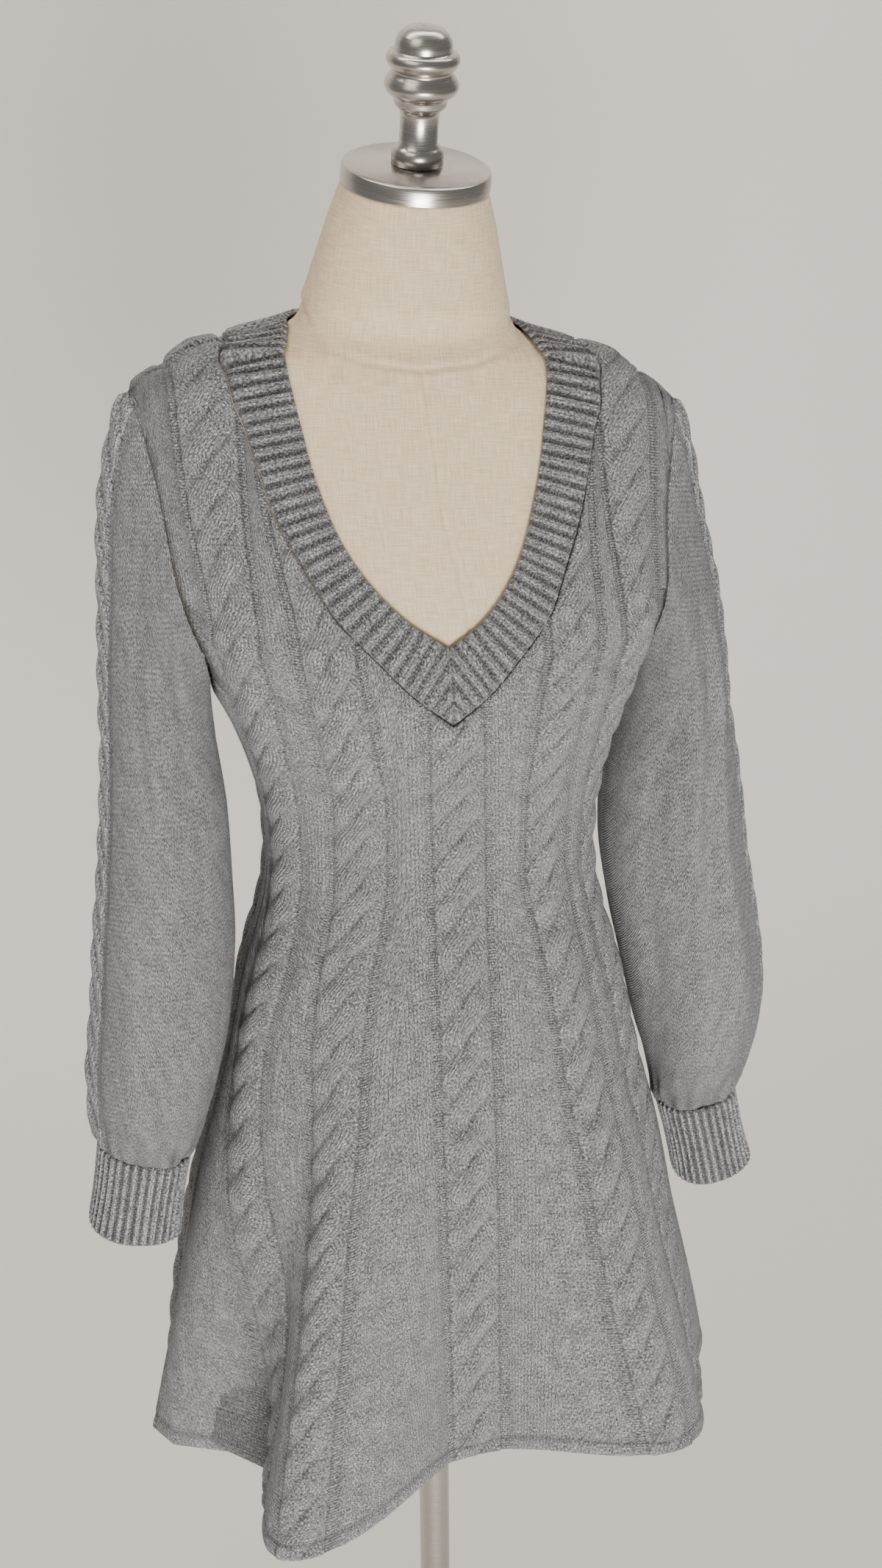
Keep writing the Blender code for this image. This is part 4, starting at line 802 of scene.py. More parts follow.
def join_part(obj, material, stands_for):
    """Links a piece to the scene and to the frame."""
    bpy.context.scene.collection.objects.link(obj)
    obj.data.materials.append(bpy.data.materials[material])
    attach(obj, "root")
    if stands_for:
        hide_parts(stands_for)


def set_stitches(obj, places):
    """UVs in metres: across the wales and along the courses."""
    layer = obj.data.uv_layers.new(name="stitches")
    layer.data.foreach_set("uv", np.asarray(places, np.float32).ravel())


def set_points(obj, name, values):
    """One number for each point: purl is 1 on purl knit; the painted shading is 1 in a crevice, where the
    wool's colour is darkened as painted shade, and -1 on a crest, where it is lightened as painted highlight.
    """
    layer = obj.data.attributes.new(name, "FLOAT", "POINT")
    layer.data.foreach_set("value", np.asarray(values, np.float32).ravel())


def corners_of(obj):
    found = np.empty(len(obj.data.loops), np.int32)
    obj.data.loops.foreach_get("vertex_index", found)
    return found


def grid_faces(rows, columns, first=0):
    """Faces of a grid of points that are listed row by row and close into rings."""
    row, place = np.meshgrid(np.arange(rows - 1), np.arange(columns), indexing="ij")
    a = first + row * columns + place
    b = first + row * columns + (place + 1) % columns
    return np.stack([a, b, b + columns, a + columns], axis=-1).reshape(-1, 4)


def wall_faces(rows, inner_rows, columns):
    """Faces of a closed wall, whose points are its outer rings and then its inner rings."""
    first = rows * columns
    ring = np.arange(columns)
    after = (ring + 1) % columns
    low, high = first - columns, first + (inner_rows - 1) * columns
    start = np.stack([after, ring, ring + first, after + first], axis=1)
    end = np.stack([ring + low, after + low, after + high, ring + high], axis=1)
    inner = grid_faces(inner_rows, columns, first)[:, ::-1]
    return np.concatenate([grid_faces(rows, columns), inner, start, end]).tolist()


def close_round(places, girth):
    """Moves corners that have gone once round to the far end of their own face."""
    owner = np.repeat(np.arange(len(places) // 4), 4)
    mixed = (np.bincount(owner, places[:, 0] > 0.5 * girth) > 0)[owner]
    places[:, 0] += np.where((places[:, 0] < 0.02 * girth) & mixed, girth, 0)
    return places


def face_out(obj):
    """Turns the faces of a closed shell outward."""
    bpy.context.view_layer.objects.active = obj
    obj.select_set(True)
    bpy.ops.object.mode_set(mode="EDIT")
    bpy.ops.mesh.select_all(action="SELECT")
    bpy.ops.mesh.normals_make_consistent(inside=False)
    bpy.ops.object.mode_set(mode="OBJECT")
    obj.select_set(False)


def add_fuzz(obj, outer_faces, count, length, seed):
    """Loose fibres on a shell's outer faces: each one a bent, tapering blade of two faces."""
    mesh = obj.data
    points = np.empty(len(mesh.vertices) * 3)
    mesh.vertices.foreach_get("co", points)
    corners = np.array([tuple(face.vertices)[:3] for face in mesh.polygons[:outer_faces]])
    ends = points.reshape(-1, 3)[corners]
    normals = np.cross(ends[:, 1] - ends[:, 0], ends[:, 2] - ends[:, 0])
    areas = np.linalg.norm(normals, axis=1)
    keep = areas > 1e-12
    ends, areas, normals = ends[keep].mean(axis=1), areas[keep], normals[keep] / areas[keep, None]
    rng = np.random.default_rng(seed)
    picked = rng.choice(len(ends), count, p=areas / areas.sum())
    root = ends[picked] + rng.normal(0, 0.0008, (count, 3))
    normal = normals[picked]
    side = np.cross(normal, rng.normal(size=(count, 3)))
    side /= np.linalg.norm(side, axis=1, keepdims=True)
    lie = np.cross(normal, side)
    reach = length * rng.uniform(0.45, 1.5, (count, 1))
    rise = rng.uniform(0.15, 1.0, (count, 1)) ** 1.6
    root = root - 0.0006 * normal
    middle = root + reach * (0.5 * lie + 0.42 * rise * normal)
    curl = side * rng.uniform(-0.35, 0.35, (count, 1)) + normal * rng.uniform(-0.25, 0.15, (count, 1))
    tip = middle + reach * (0.45 * lie + 0.30 * rise * normal + curl)
    wide = side * FIBRE_WIDTH * rng.uniform(0.7, 1.2, (count, 1))
    blades = np.stack([root - wide, root + wide, middle + 0.7 * wide, middle - 0.7 * wide, tip], axis=1)
    first = 5 * np.arange(count)[:, None]
    faces = (first + [0, 1, 2, 3]).tolist() + (first + [3, 2, 4]).tolist()
    return make_piece(obj.name + "_fuzz", blades.reshape(-1, 3), faces, FIBRES)


# ---------------------------------------------------------------- materials
def add_node(tree, kind, inputs=(), **settings):
    """One shader node with its settings; inputs are values, or sockets to link from."""
    made = tree.nodes.new(kind)
    for name, value in settings.items():
        setattr(made, name, value)
    for name, value in dict(inputs).items():
        if isinstance(value, bpy.types.NodeSocket):
            tree.links.new(value, made.inputs[name])
        else:
            made.inputs[name].default_value = value
    return made


def sum_up(tree, operation, *values):
    """One maths node on up to three values; gives its result."""
    return add_node(tree, "ShaderNodeMath", dict(enumerate(values)), operation=operation).outputs[0]


def start_material(name, roughness, metallic=0.0, ior=1.5):
    material = bpy.data.materials.new(name)
    material.use_nodes = True
    tree = material.node_tree
    shader = tree.nodes["Principled BSDF"]
    shader.inputs["Roughness"].default_value = roughness
    shader.inputs["Metallic"].default_value = metallic
    if not metallic:
        shader.inputs["IOR"].default_value = ior
    return tree, shader


def heather(tree, stitches, dark, middle, light):
    """Melange colour: the yarn is spun from dark and light wool, so the tone changes every few stitches."""
    strokes = add_node(tree, "ShaderNodeMapping", {"Vector": stitches, "Scale": (900, 520, 1)})
    fine = add_node(tree, "ShaderNodeTexNoise", {"Vector": strokes.outputs[0], "Scale": 1.0, "Detail": 2.0})
    drifts = add_node(tree, "ShaderNodeMapping", {"Vector": stitches, "Scale": (90, 70, 1)})
    wide = add_node(tree, "ShaderNodeTexNoise", {"Vector": drifts.outputs[0], "Scale": 1.0, "Detail": 1.0})
    tone = sum_up(tree, "MULTIPLY_ADD", fine.outputs[0], 0.86, 0.0)
    tone = sum_up(tree, "MULTIPLY_ADD", wide.outputs[0], 0.16, tone)
    ramp = add_node(tree, "ShaderNodeValToRGB", {"Fac": tone})
    steps = ramp.color_ramp.elements
    steps[0].position, steps[0].color = 0.37, (*dark, 1)
    steps[1].position, steps[1].color = 0.67, (*light, 1)
    between = steps.new(0.51)
    between.color = (*middle, 1)
    return ramp.outputs[0]


def knit_height(tree, stitches, purl):
    """Height of the stitches: slanting legs in V shapes for knit, offset half-moons for purl."""
    split = add_node(tree, "ShaderNodeSeparateXYZ", {"Vector": stitches})
    wale = sum_up(tree, "DIVIDE", split.outputs[0], WALE)
    course = sum_up(tree, "DIVIDE", split.outputs[1], COURSE)
    part = sum_up(tree, "FRACT", wale)
    leg = sum_up(tree, "ABSOLUTE", sum_up(tree, "SUBTRACT", part, 0.5))
    slant = sum_up(tree, "MULTIPLY_ADD", leg, 1.5, course)
    bead = sum_up(tree, "SINE", sum_up(tree, "MULTIPLY", sum_up(tree, "FRACT", slant), pi))
    round_wale = sum_up(tree, "COSINE", sum_up(tree, "MULTIPLY", leg, pi))
    knit = sum_up(tree, "MULTIPLY", sum_up(tree, "POWER", bead, 0.4), sum_up(tree, "POWER", round_wale, 0.8))
    row = sum_up(tree, "FLOOR", course)
    moved = sum_up(tree, "FRACT", sum_up(tree, "MULTIPLY_ADD", row, 0.5, wale))
    across = sum_up(tree, "SINE", sum_up(tree, "MULTIPLY", moved, pi))
    up = sum_up(tree, "SINE", sum_up(tree, "MULTIPLY", sum_up(tree, "FRACT", course), pi))
    bump = sum_up(tree, "MULTIPLY", sum_up(tree, "POWER", across, 0.5), sum_up(tree, "POWER", up, 0.8))
    mix = add_node(tree, "ShaderNodeMix", {0: purl, 2: knit, 3: bump}, data_type="FLOAT")
    return mix.outputs[0]


def wool_material(name, colours, painted_gap_shade):
    """Brushed heather wool: soft fibres scatter light at the edges, so it has a strong sheen and no gloss.
    Its colour carries painted shade between stitches and in crevices, and painted highlights on crests.
    """
    tree, shader = start_material(name, 0.92, ior=1.55)
    shader.inputs["Specular IOR Level"].default_value = 0.25
    shader.inputs["Sheen Weight"].default_value = 0.25
    shader.inputs["Sheen Roughness"].default_value = 0.5
    stitches = add_node(tree, "ShaderNodeUVMap", uv_map="stitches").outputs[0]
    wobble = add_node(tree, "ShaderNodeTexNoise", {"Vector": stitches, "Scale": 260.0, "Detail": 1.0})
    centred = {0: wobble.outputs[1], 1: (0.5, 0.5, 0.5)}
    push = add_node(tree, "ShaderNodeVectorMath", centred, operation="SUBTRACT")
    push = add_node(tree, "ShaderNodeVectorMath", {0: push.outputs[0], "Scale": 0.0012}, operation="SCALE")
    moved = {0: stitches, 1: push.outputs[0]}
    bent = add_node(tree, "ShaderNodeVectorMath", moved, operation="ADD").outputs[0]
    purl = add_node(tree, "ShaderNodeAttribute", attribute_name="purl").outputs[2]
    height = knit_height(tree, bent, purl)
    felt = add_node(tree, "ShaderNodeTexNoise", {"Vector": stitches, "Scale": 1100.0, "Detail": 2.0})
    height = sum_up(tree, "MULTIPLY_ADD", felt.outputs[0], 0.35, height)
    colour = heather(tree, stitches, *colours)
    # Painted shade between stitches: the colour is darker where the stitch height is low.
    gap = sum_up(tree, "MULTIPLY_ADD", height, painted_gap_shade, 1.0 - 0.85 * painted_gap_shade)
    # Painted shade and highlight: the wool's colour is darkened in crevices, channels, between ribs and in
    # gather troughs, and lightened up to 1.3 times on crests.
    hollow = add_node(tree, "ShaderNodeAttribute", attribute_name="hollow").outputs[2]
    shade = add_node(
        tree,
        "ShaderNodeMapRange",
        {"Value": hollow, "From Min": -1.0, "From Max": 1.0, "To Min": 1.30, "To Max": PAINTED_CREVICE_SHADE},
    )
    painted_shade_factor = sum_up(tree, "MULTIPLY", gap, shade.outputs[0])
    shaded = add_node(tree, "ShaderNodeVectorMath", {0: colour, "Scale": painted_shade_factor}, operation="SCALE")
    tree.links.new(shaded.outputs[0], shader.inputs["Base Color"])
    bump = add_node(tree, "ShaderNodeBump", {"Strength": 1.0, "Distance": STITCH_DEPTH, "Height": height})
    tree.links.new(bump.outputs[0], shader.inputs["Normal"])


def fibre_material(name, colour):
    """Single wool hairs, coloured from the yarn's lightest tone: their lightness is partly the yarn's light
    fibres and partly painted light, standing in for light that passes through thin, half-clear hairs, so they
    read lighter than the knit below.
    """
    tree, shader = start_material(name, 0.6, ior=1.55)
    shader.inputs["Sheen Weight"].default_value = 0.3
    spread = add_node(tree, "ShaderNodeTexCoord").outputs["Object"]
    tone = add_node(tree, "ShaderNodeTexNoise", {"Vector": spread, "Scale": 500.0, "Detail": 0.0})
    ramp = add_node(tree, "ShaderNodeValToRGB", {"Fac": tone.outputs[0]})
    ramp.color_ramp.elements[0].color = (*[0.45 * part for part in colour], 1)
    ramp.color_ramp.elements[1].color = (*colour, 1)
    tree.links.new(ramp.outputs[0], shader.inputs["Base Color"])


def linen_material(name, light, dark):
    """Unbleached linen, plain weave, pulled tight over the padding: uneven threads and a few thick slubs."""
    tree, shader = start_material(name, 0.82, ior=1.53)
    shader.inputs["Specular IOR Level"].default_value = 0.3
    shader.inputs["Sheen Weight"].default_value = 0.12
    shader.inputs["Sheen Roughness"].default_value = 0.4
    threads = add_node(tree, "ShaderNodeUVMap", uv_map="stitches").outputs[0]
    split = add_node(tree, "ShaderNodeSeparateXYZ", {"Vector": threads})
    turns = 2 * pi / THREAD
    warp = sum_up(tree, "SINE", sum_up(tree, "MULTIPLY", split.outputs[0], turns))
    weft = sum_up(tree, "SINE", sum_up(tree, "MULTIPLY", split.outputs[1], turns))
    weave = sum_up(tree, "MULTIPLY", warp, weft)
    along = add_node(tree, "ShaderNodeMapping", {"Vector": threads, "Scale": (1400, 60, 1)})
    down = add_node(tree, "ShaderNodeTexNoise", {"Vector": along.outputs[0], "Scale": 1.0, "Detail": 2.0})
    aside = add_node(tree, "ShaderNodeMapping", {"Vector": threads, "Scale": (60, 1400, 1)})
    over = add_node(tree, "ShaderNodeTexNoise", {"Vector": aside.outputs[0], "Scale": 1.0, "Detail": 2.0})
    slubs = sum_up(tree, "ADD", down.outputs[0], over.outputs[0])
    ramp = add_node(tree, "ShaderNodeValToRGB", {"Fac": sum_up(tree, "MULTIPLY", slubs, 0.5)})
    steps = ramp.color_ramp.elements
    steps[0].position, steps[0].color = 0.36, (*dark, 1)
    steps[1].position, steps[1].color = 0.60, (*light, 1)
    tree.links.new(ramp.outputs[0], shader.inputs["Base Color"])
    height = sum_up(tree, "MULTIPLY_ADD", weave, 0.35, slubs)
    bump = add_node(tree, "ShaderNodeBump", {"Strength": 0.5, "Distance": 0.00025, "Height": height})
    tree.links.new(bump.outputs[0], shader.inputs["Normal"])


def steel_material(name, colour, roughness):
    """Satin-brushed stainless steel: fine lines from the brushing wheel stretch the highlights."""
    tree, shader = start_material(name, roughness, metallic=1.0)
    shader.inputs["Base Color"].default_value = (*colour, 1)
    spread = add_node(tree, "ShaderNodeTexCoord").outputs["Object"]
    lines = add_node(tree, "ShaderNodeMapping", {"Vector": spread, "Scale": (30, 30, 2600)})
    grain = add_node(tree, "ShaderNodeTexNoise", {"Vector": lines.outputs[0], "Scale": 1.0, "Detail": 3.0})
    spans = {"From Min": 0.3, "From Max": 0.7, "To Min": roughness - 0.07, "To Max": roughness + 0.09}
    gloss = add_node(tree, "ShaderNodeMapRange", {"Value": grain.outputs[0], **spans})
    tree.links.new(gloss.outputs[0], shader.inputs["Roughness"])
    relief = {"Strength": 0.12, "Distance": 0.0002, "Height": grain.outputs[0]}
    bump = add_node(tree, "ShaderNodeBump", relief)
    tree.links.new(bump.outputs[0], shader.inputs["Normal"])


def wall_material(name, colour):
    """Matt emulsion paint of the floor and the sweep behind."""
    tree, shader = start_material(name, 0.9)
    spread = add_node(tree, "ShaderNodeTexCoord").outputs["Object"]
    tone = add_node(tree, "ShaderNodeTexNoise", {"Vector": spread, "Scale": 1.2, "Detail": 2.0})
    ramp = add_node(tree, "ShaderNodeValToRGB", {"Fac": tone.outputs[0]})
    ramp.color_ramp.elements[0].color = (*[0.96 * part for part in colour], 1)
    ramp.color_ramp.elements[1].color = (*colour, 1)
    tree.links.new(ramp.outputs[0], shader.inputs["Base Color"])


# ---------------------------------------------------------------- front and back
def strip_columns():
    """Labels of the net's columns: close together over cables and channels, wider on plain knit."""
    edges = [-EDGE_LABEL]
    for middle in CABLE_LABELS:
        edges += [middle - CHANNEL_EDGE, middle + CHANNEL_EDGE]
    edges.append(EDGE_LABEL)
    labels = [np.array([-EDGE_LABEL])]
    for place, (low, high) in enumerate(zip(edges, edges[1:])):
        step = CABLE_STEP if place % 2 else PLAIN_STEP / 1.9
        labels.append(np.linspace(low, high, max(3, round((high - low) / step)) + 1)[1:])
    return np.concatenate(labels)


def line_places(panel, heights):
    """Labels of the cables' lines and the panel's sides, and how far across the cloth they lie."""
    labels, across = cable_lines(panel.cables, heights)
    coarse = np.linspace(HEM_HEIGHT, YOKE_HEIGHT, 40)
    ends = np.array([np.interp([-pi / 2, pi / 2], panel.turns, panel.ring(z)[1]) for z in coarse])
    left, right = (np.interp(heights, coarse, ends[:, side]) for side in (0, 1))
    return np.array([-EDGE_LABEL, *labels, EDGE_LABEL]), np.array([left, *across, right])


def panel_outline(panel, back):
    """The cut edge as (label, length, offset angle, height), from the hem's left end round by the right."""
    loop = []

    def add(label, offset, height):
        point = body_point(panel.angle(offset), height)
        loop.append((label, panel.length_near(label, point), offset, height))

    for label in strip_columns()[:-1]:
        add(label, float(np.interp(label, panel.labels, panel.offsets[0])), HEM_HEIGHT)
    side = [(EDGE_LABEL, pi / 2, z) for z in edge_heights(HEM_HEIGHT, UNDERARM, 0.005)[:-1]]
    side += [(panel.label_of(a, z) if z > UNDERARM else EDGE_LABEL, a, z) for a, z in armhole_edge()]
    side += [(panel.label_of(pi / 2, z), pi / 2, z) for _, z in shoulder_edge()[1:-1]]
    neck = [(panel.label_of(a, z), a, z) for a, z in neck_edge(back, 70 if back else 90)]
    for label, offset, height in side + neck[::-1]:
        add(label, offset, height)
    for label, offset, height in side[:0:-1]:
        add(-label, -offset, height)
    return np.array(loop)


def inside_and_clear(outline, places, room):
    """Which places lie inside a closed outline and further than the room from it."""
    kept = np.zeros(len(places), bool)
    along = np.roll(outline, -1, axis=0) - outline
    size = np.maximum((along**2).sum(axis=1), 1e-14)
    for start in range(0, len(places), 2000):
        part = places[start : start + 2000]
        gap = part[:, None, :] - outline[None]
        above = outline[:, 1] > part[:, None, 1]
        crosses = above != np.roll(above, -1, axis=1)
        with np.errstate(divide="ignore", invalid="ignore"):
            at = outline[:, 0] + gap[..., 1] * along[:, 0] / along[:, 1]
        odd = (crosses & (part[:, None, 0] < at)).sum(axis=1) % 2 == 1
        share = np.clip((gap * along).sum(axis=-1) / size, 0, 1)
        away = np.linalg.norm(gap - share[..., None] * along, axis=-1).min(axis=1)
        kept[start : start + 2000] = odd & (away > room)
    return kept


def build_panel(name, back, cables, creases, fuzz_seed):
    """One panel: a fine outer side with its relief, a plain inner side and a soft edge."""
    panel = Panel(back, cables)
    outline = panel_outline(panel, back)
    flat = outline[:, :2]
    labels = strip_columns()
    tall = flat[:, 1].max()
    fine = (np.abs(labels[:, None] - np.array(CABLE_LABELS)).min(axis=1)) < CHANNEL_EDGE + 1e-9
    net = [
        (label, length)
        for label, close in zip(labels, fine)
        for length in np.arange(ROW_STEP, tall, ROW_STEP if close else PLAIN_STEP)
    ]
    net = np.array([place for place in net if abs(place[0]) < EDGE_LABEL - 1e-6])
    net = net[inside_and_clear(flat, net, 0.0016)]
    coarse = np.array(
        [
            (label, length)
            for label in np.linspace(-EDGE_LABEL, EDGE_LABEL, 41)[1:-1]
            for length in np.arange(0.006, tall, 0.012)
        ]
    )
    coarse = coarse[inside_and_clear(flat, coarse, 0.004)]
    points, faces = [], []
    plane_outline = [Vector(place) for place in flat]
    data = []
    for side, places in (("outer", net), ("inner", coarse)):
        every = np.concatenate([flat, places])
        offsets, heights = places_on(panel, places)
        offsets = np.concatenate([outline[:, 2], offsets])
        heights = np.concatenate([outline[:, 3], heights])
        across, middle = across_of(panel, every[:, 0], heights)
        angles = panel.angle(offsets)
        bend = crease_height(creases, across, every[:, 1])
        edge = np.arange(len(every)) < len(flat)
        if side == "outer":
            risen = smoothstep((heights - YOKE_HEIGHT + 0.05) / 0.08)
            depth = CHANNEL_DEPTH * (1 + 0.8 * risen)
            crossings = every[:, 1] / CABLE_PITCH
            relief = cable_relief(across - middle, crossings, depth)
            # Painted shade in the crevices and channels, painted highlight on the cable's crests.
            hollow = painted_shading_of(relief, across - middle, crossings, depth)
            hem = np.exp(-(((every[:, 1] - HEM_STITCH) / 0.0016) ** 2))
            relief = relief - 0.0011 * hem
            rim = edge & (heights > HEM_HEIGHT + 1e-6)
            relief = np.where(rim, np.minimum(relief, 0.0006) - 0.0007, relief)
            relief = np.where(edge & ~rim, np.minimum(relief, 0.001) - 0.0009, relief)
            # Painted shade along the sewn line above the hem.
            hollow = np.maximum(hollow, 0.8 * hem)
        else:
            # Painted shade: the inside of the panel is drawn darker than plain knit.
            hollow = np.full(len(every), 0.35)
            relief = np.where(edge, -CLOTH + 0.0005, -CLOTH)
        data.append(np.stack([across, middle, every[:, 1], hollow]))
        first = sum(len(part) for part in points)
        points.append(body_point(angles, heights) + body_normal(angles, heights) * (relief + bend)[:, None])
        plane = plane_outline + [Vector(place) for place in places]
        found = delaunay_2d_cdt(plane, [], [list(range(len(flat)))], 1, 1e-7)[2]
        turn = 1 if side == "outer" else -1
        faces += [tuple(first + corner for corner in face[::turn]) for face in found]
        if side == "outer":
            outer_count = len(found)
    inner_first = len(points[0])
    ring = np.arange(len(flat))
    after = np.roll(ring, -1)
    faces += np.stack([after, ring, ring + inner_first, after + inner_first], axis=1).tolist()
    points = np.concatenate(points)
    shift = SEAM_GAP / 2 if back else -SEAM_GAP / 2
    points[:, 1] += shift
    obj = make_piece(name.replace("panel", "knit"), lean(points), faces, KNITTED, name)
    lay_stitches(obj, *np.concatenate(data, axis=1))
    face_out(obj)
    sizes = bpy.context.scene.dress_sizes
    return obj, add_fuzz(obj, outer_count, sizes.fuzz_count, sizes.fuzz_length, fuzz_seed)


def places_on(panel, places):
    """Offset angle and height of many (label, length) places, worked out column by column."""
    offsets, heights = np.empty(len(places)), np.empty(len(places))
    for label in np.unique(places[:, 0]):
        here = places[:, 0] == label
        lengths, turned, high = panel.between(label, panel.lengths, panel.offsets, panel.heights)
        offsets[here] = np.interp(places[here, 1], lengths, turned)
        heights[here] = np.interp(places[here, 1], lengths, high)
    return offsets, heights


def across_of(panel, labels, heights):
    """How far across the cloth each place lies, and the same for the nearest cable's middle."""
    grid = np.linspace(HEM_HEIGHT, YOKE_HEIGHT, 120)
    lines, places = line_places(panel, grid)
    k = np.clip(np.searchsorted(lines, labels) - 1, 0, len(lines) - 2)
    share = (labels - lines[k]) / (lines[k + 1] - lines[k])
    at = np.clip((heights - HEM_HEIGHT) / (YOKE_HEIGHT - HEM_HEIGHT), 0, 1) * (len(grid) - 1)
    row = np.minimum(at.astype(int), len(grid) - 2)
    part = at - row

    def read(line):
        return places[line, row] * (1 - part) + places[line, row + 1] * part

    across = read(k) * (1 - share) + read(k + 1) * share
    nearest = np.abs(labels[:, None] - np.array(CABLE_LABELS)).argmin(axis=1)
    return across, read(3 * nearest + 2)


def lay_stitches(obj, across, middle, length, hollow):
    """Wales follow the strands over a cable, and the nearest cable elsewhere; courses follow the length."""
    corner = corners_of(obj)
    starts = np.empty(len(obj.data.polygons), np.int32)
    counts = np.empty(len(obj.data.polygons), np.int32)
    obj.data.polygons.foreach_get("loop_start", starts)
    obj.data.polygons.foreach_get("loop_total", counts)
    owner = np.repeat(np.arange(len(starts)), counts)
    face_middle = middle[corner[starts]][owner]
    offset = across[corner] - face_middle
    centre = np.bincount(owner, offset) / counts
    rise = np.bincount(owner, length[corner]) / counts
    heights_, _ = strands(centre, rise / CABLE_PITCH)
    strand = np.argmax(heights_, axis=0)[owner]
    _, sides = strands(offset, length[corner] / CABLE_PITCH)
    follow = (np.abs(centre) < CHANNEL_START)[owner]
    wale = offset - np.where(follow, sides[strand, np.arange(len(offset))], 0.0)
    set_stitches(obj, np.stack([wale, length[corner]], axis=1))
    away = np.abs(across - middle)
    purl = (away > CHANNEL_START - 0.0008) & (away < CHANNEL_HALF)
    set_points(obj, "purl", purl)
    set_points(obj, "hollow", hollow)


# ---------------------------------------------------------------- neckband
def build_neckband():
    """The ribbed band round the neck: its ribs stand square to the seam and meet in a mitre at the V."""
    fine = np.radians(np.linspace(0, 180, 1441))
    arcs = {}
    for edge in ("inner", "outer"):
        places = body_point(fine, neck_height(fine, edge))
        arcs[edge] = np.concatenate([[0], np.cumsum(np.linalg.norm(np.diff(places, axis=0), axis=-1))])
    half = (arcs["inner"][-1] + arcs["outer"][-1]) / 2
    columns = round(half / BAND_STEP)
    share = np.arange(2 * columns) / columns
    part = np.where(share <= 1, share, 2 - share)
    side = np.where(share <= 1, 1.0, -1.0)
    reach = np.linspace(0, 1, BAND_ROWS)
    ends = []
    for edge in ("inner", "outer"):
        angle = np.interp(part * arcs[edge][-1], arcs[edge], fine)
        ends.append((angle, neck_height(angle, edge)))
    (a0, z0), (a1, z1) = ends
    inset = reach * (1 - 2 * SEAM_GAP / BAND_WIDTH)
    angle = side * (a0 + (a1 - a0) * inset[:, None])
    height = z0 + (z1 - z0) * inset[:, None]
    line = body_point(fine, neck_height(fine, "inner"))
    ahead = np.linspace(2 * BAND_WIDTH, 0, 140, endpoint=False)
    line = np.concatenate([line[0] + ahead[:, None] * (line[0] - line[1]) / arcs["inner"][1], line])
    arc = np.concatenate([-ahead, arcs["inner"]])
    tangents = np.gradient(line, arc, axis=0)
    square = np.empty(angle.shape)
    for row, places in enumerate(body_point(np.abs(angle), height)):
        near = ((places[:, None] - line) ** 2).sum(axis=-1).argmin(axis=1)
        square[row] = arc[near] + ((places - line[near]) * tangents[near]).sum(axis=-1)
    rib = np.clip(0.5 + 0.75 * np.cos(2 * pi * square / BAND_RIB_PITCH), 0, 1)
    edge_round = np.minimum(reach, 1 - reach)[:, None] * BAND_WIDTH
    soft = 0.0014 * (1 - np.sqrt(1 - np.clip(1 - edge_round / 0.0035, 0, 1) ** 2))
    mitre = 0.0014 * np.exp(-((part * half / 0.0016) ** 2))
    out = 0.0023 * smoothstep(rib) * smoothstep(edge_round / 0.002 + 0.25) - soft - mitre - 0.0004
    normals = body_normal(angle, height)
    outer = body_point(angle, height) + normals * out[..., None]
    inner = (body_point(angle, height) - normals * (CLOTH - 0.5 * soft)[..., None])[::4]
    faces = wall_faces(BAND_ROWS, len(inner), len(share))
    points = np.concatenate([outer.reshape(-1, 3), inner.reshape(-1, 3)])
    obj = make_piece("neckband_rib", lean(points), faces, RIBBED, "neckband")
    across = np.broadcast_to(reach[:, None] * BAND_WIDTH, square.shape)
    uv = np.stack([square, across], axis=-1)
    uv = np.concatenate([uv.reshape(-1, 2), uv[::4].reshape(-1, 2)])
    set_stitches(obj, uv[corners_of(obj)])
    purl = np.concatenate([(rib < 0.25).ravel(), (rib < 0.25)[::4].ravel()]).astype(float)
    set_points(obj, "purl", purl)
    # Painted shade between the ribs, along the seam at the band's outer edge and at the mitre; painted
    # highlight on the ribs.
    hollow = np.maximum(1 - 1.7 * rib, 0.5 * np.exp(-(((1 - reach[:, None]) * BAND_WIDTH / 0.0018) ** 2)))
    hollow = np.maximum(hollow, 0.8 * np.exp(-((part * half / 0.0012) ** 2)))
    set_points(obj, "hollow", np.concatenate([hollow.ravel(), hollow[::4].ravel()]))
    face_out(obj)
    return obj, add_fuzz(obj, (BAND_ROWS - 1) * len(share), 9000, RIB_FUZZ_LENGTH, 31)


# ---------------------------------------------------------------- sleeve and cuff shells
def even_columns(sheet, count):
    """The sheet's points, normals and lengths at evenly spaced shares of each column's length."""
    at = np.linspace(0, 1, count)
    points = np.empty((count, SLEEVE_COLUMNS + 1, 3))
    normals = np.empty((count, SLEEVE_COLUMNS + 1, 3))
    for k in range(SLEEVE_COLUMNS + 1):
        lengths = sheet.lengths[:, k] / sheet.lengths[-1, k]
        for axis in range(3):
            points[:, k, axis] = np.interp(at, lengths, sheet.points[:, k, axis])
            normals[:, k, axis] = np.interp(at, lengths, sheet.normals[:, k, axis])
    return points, normals, sheet.lengths[-1]


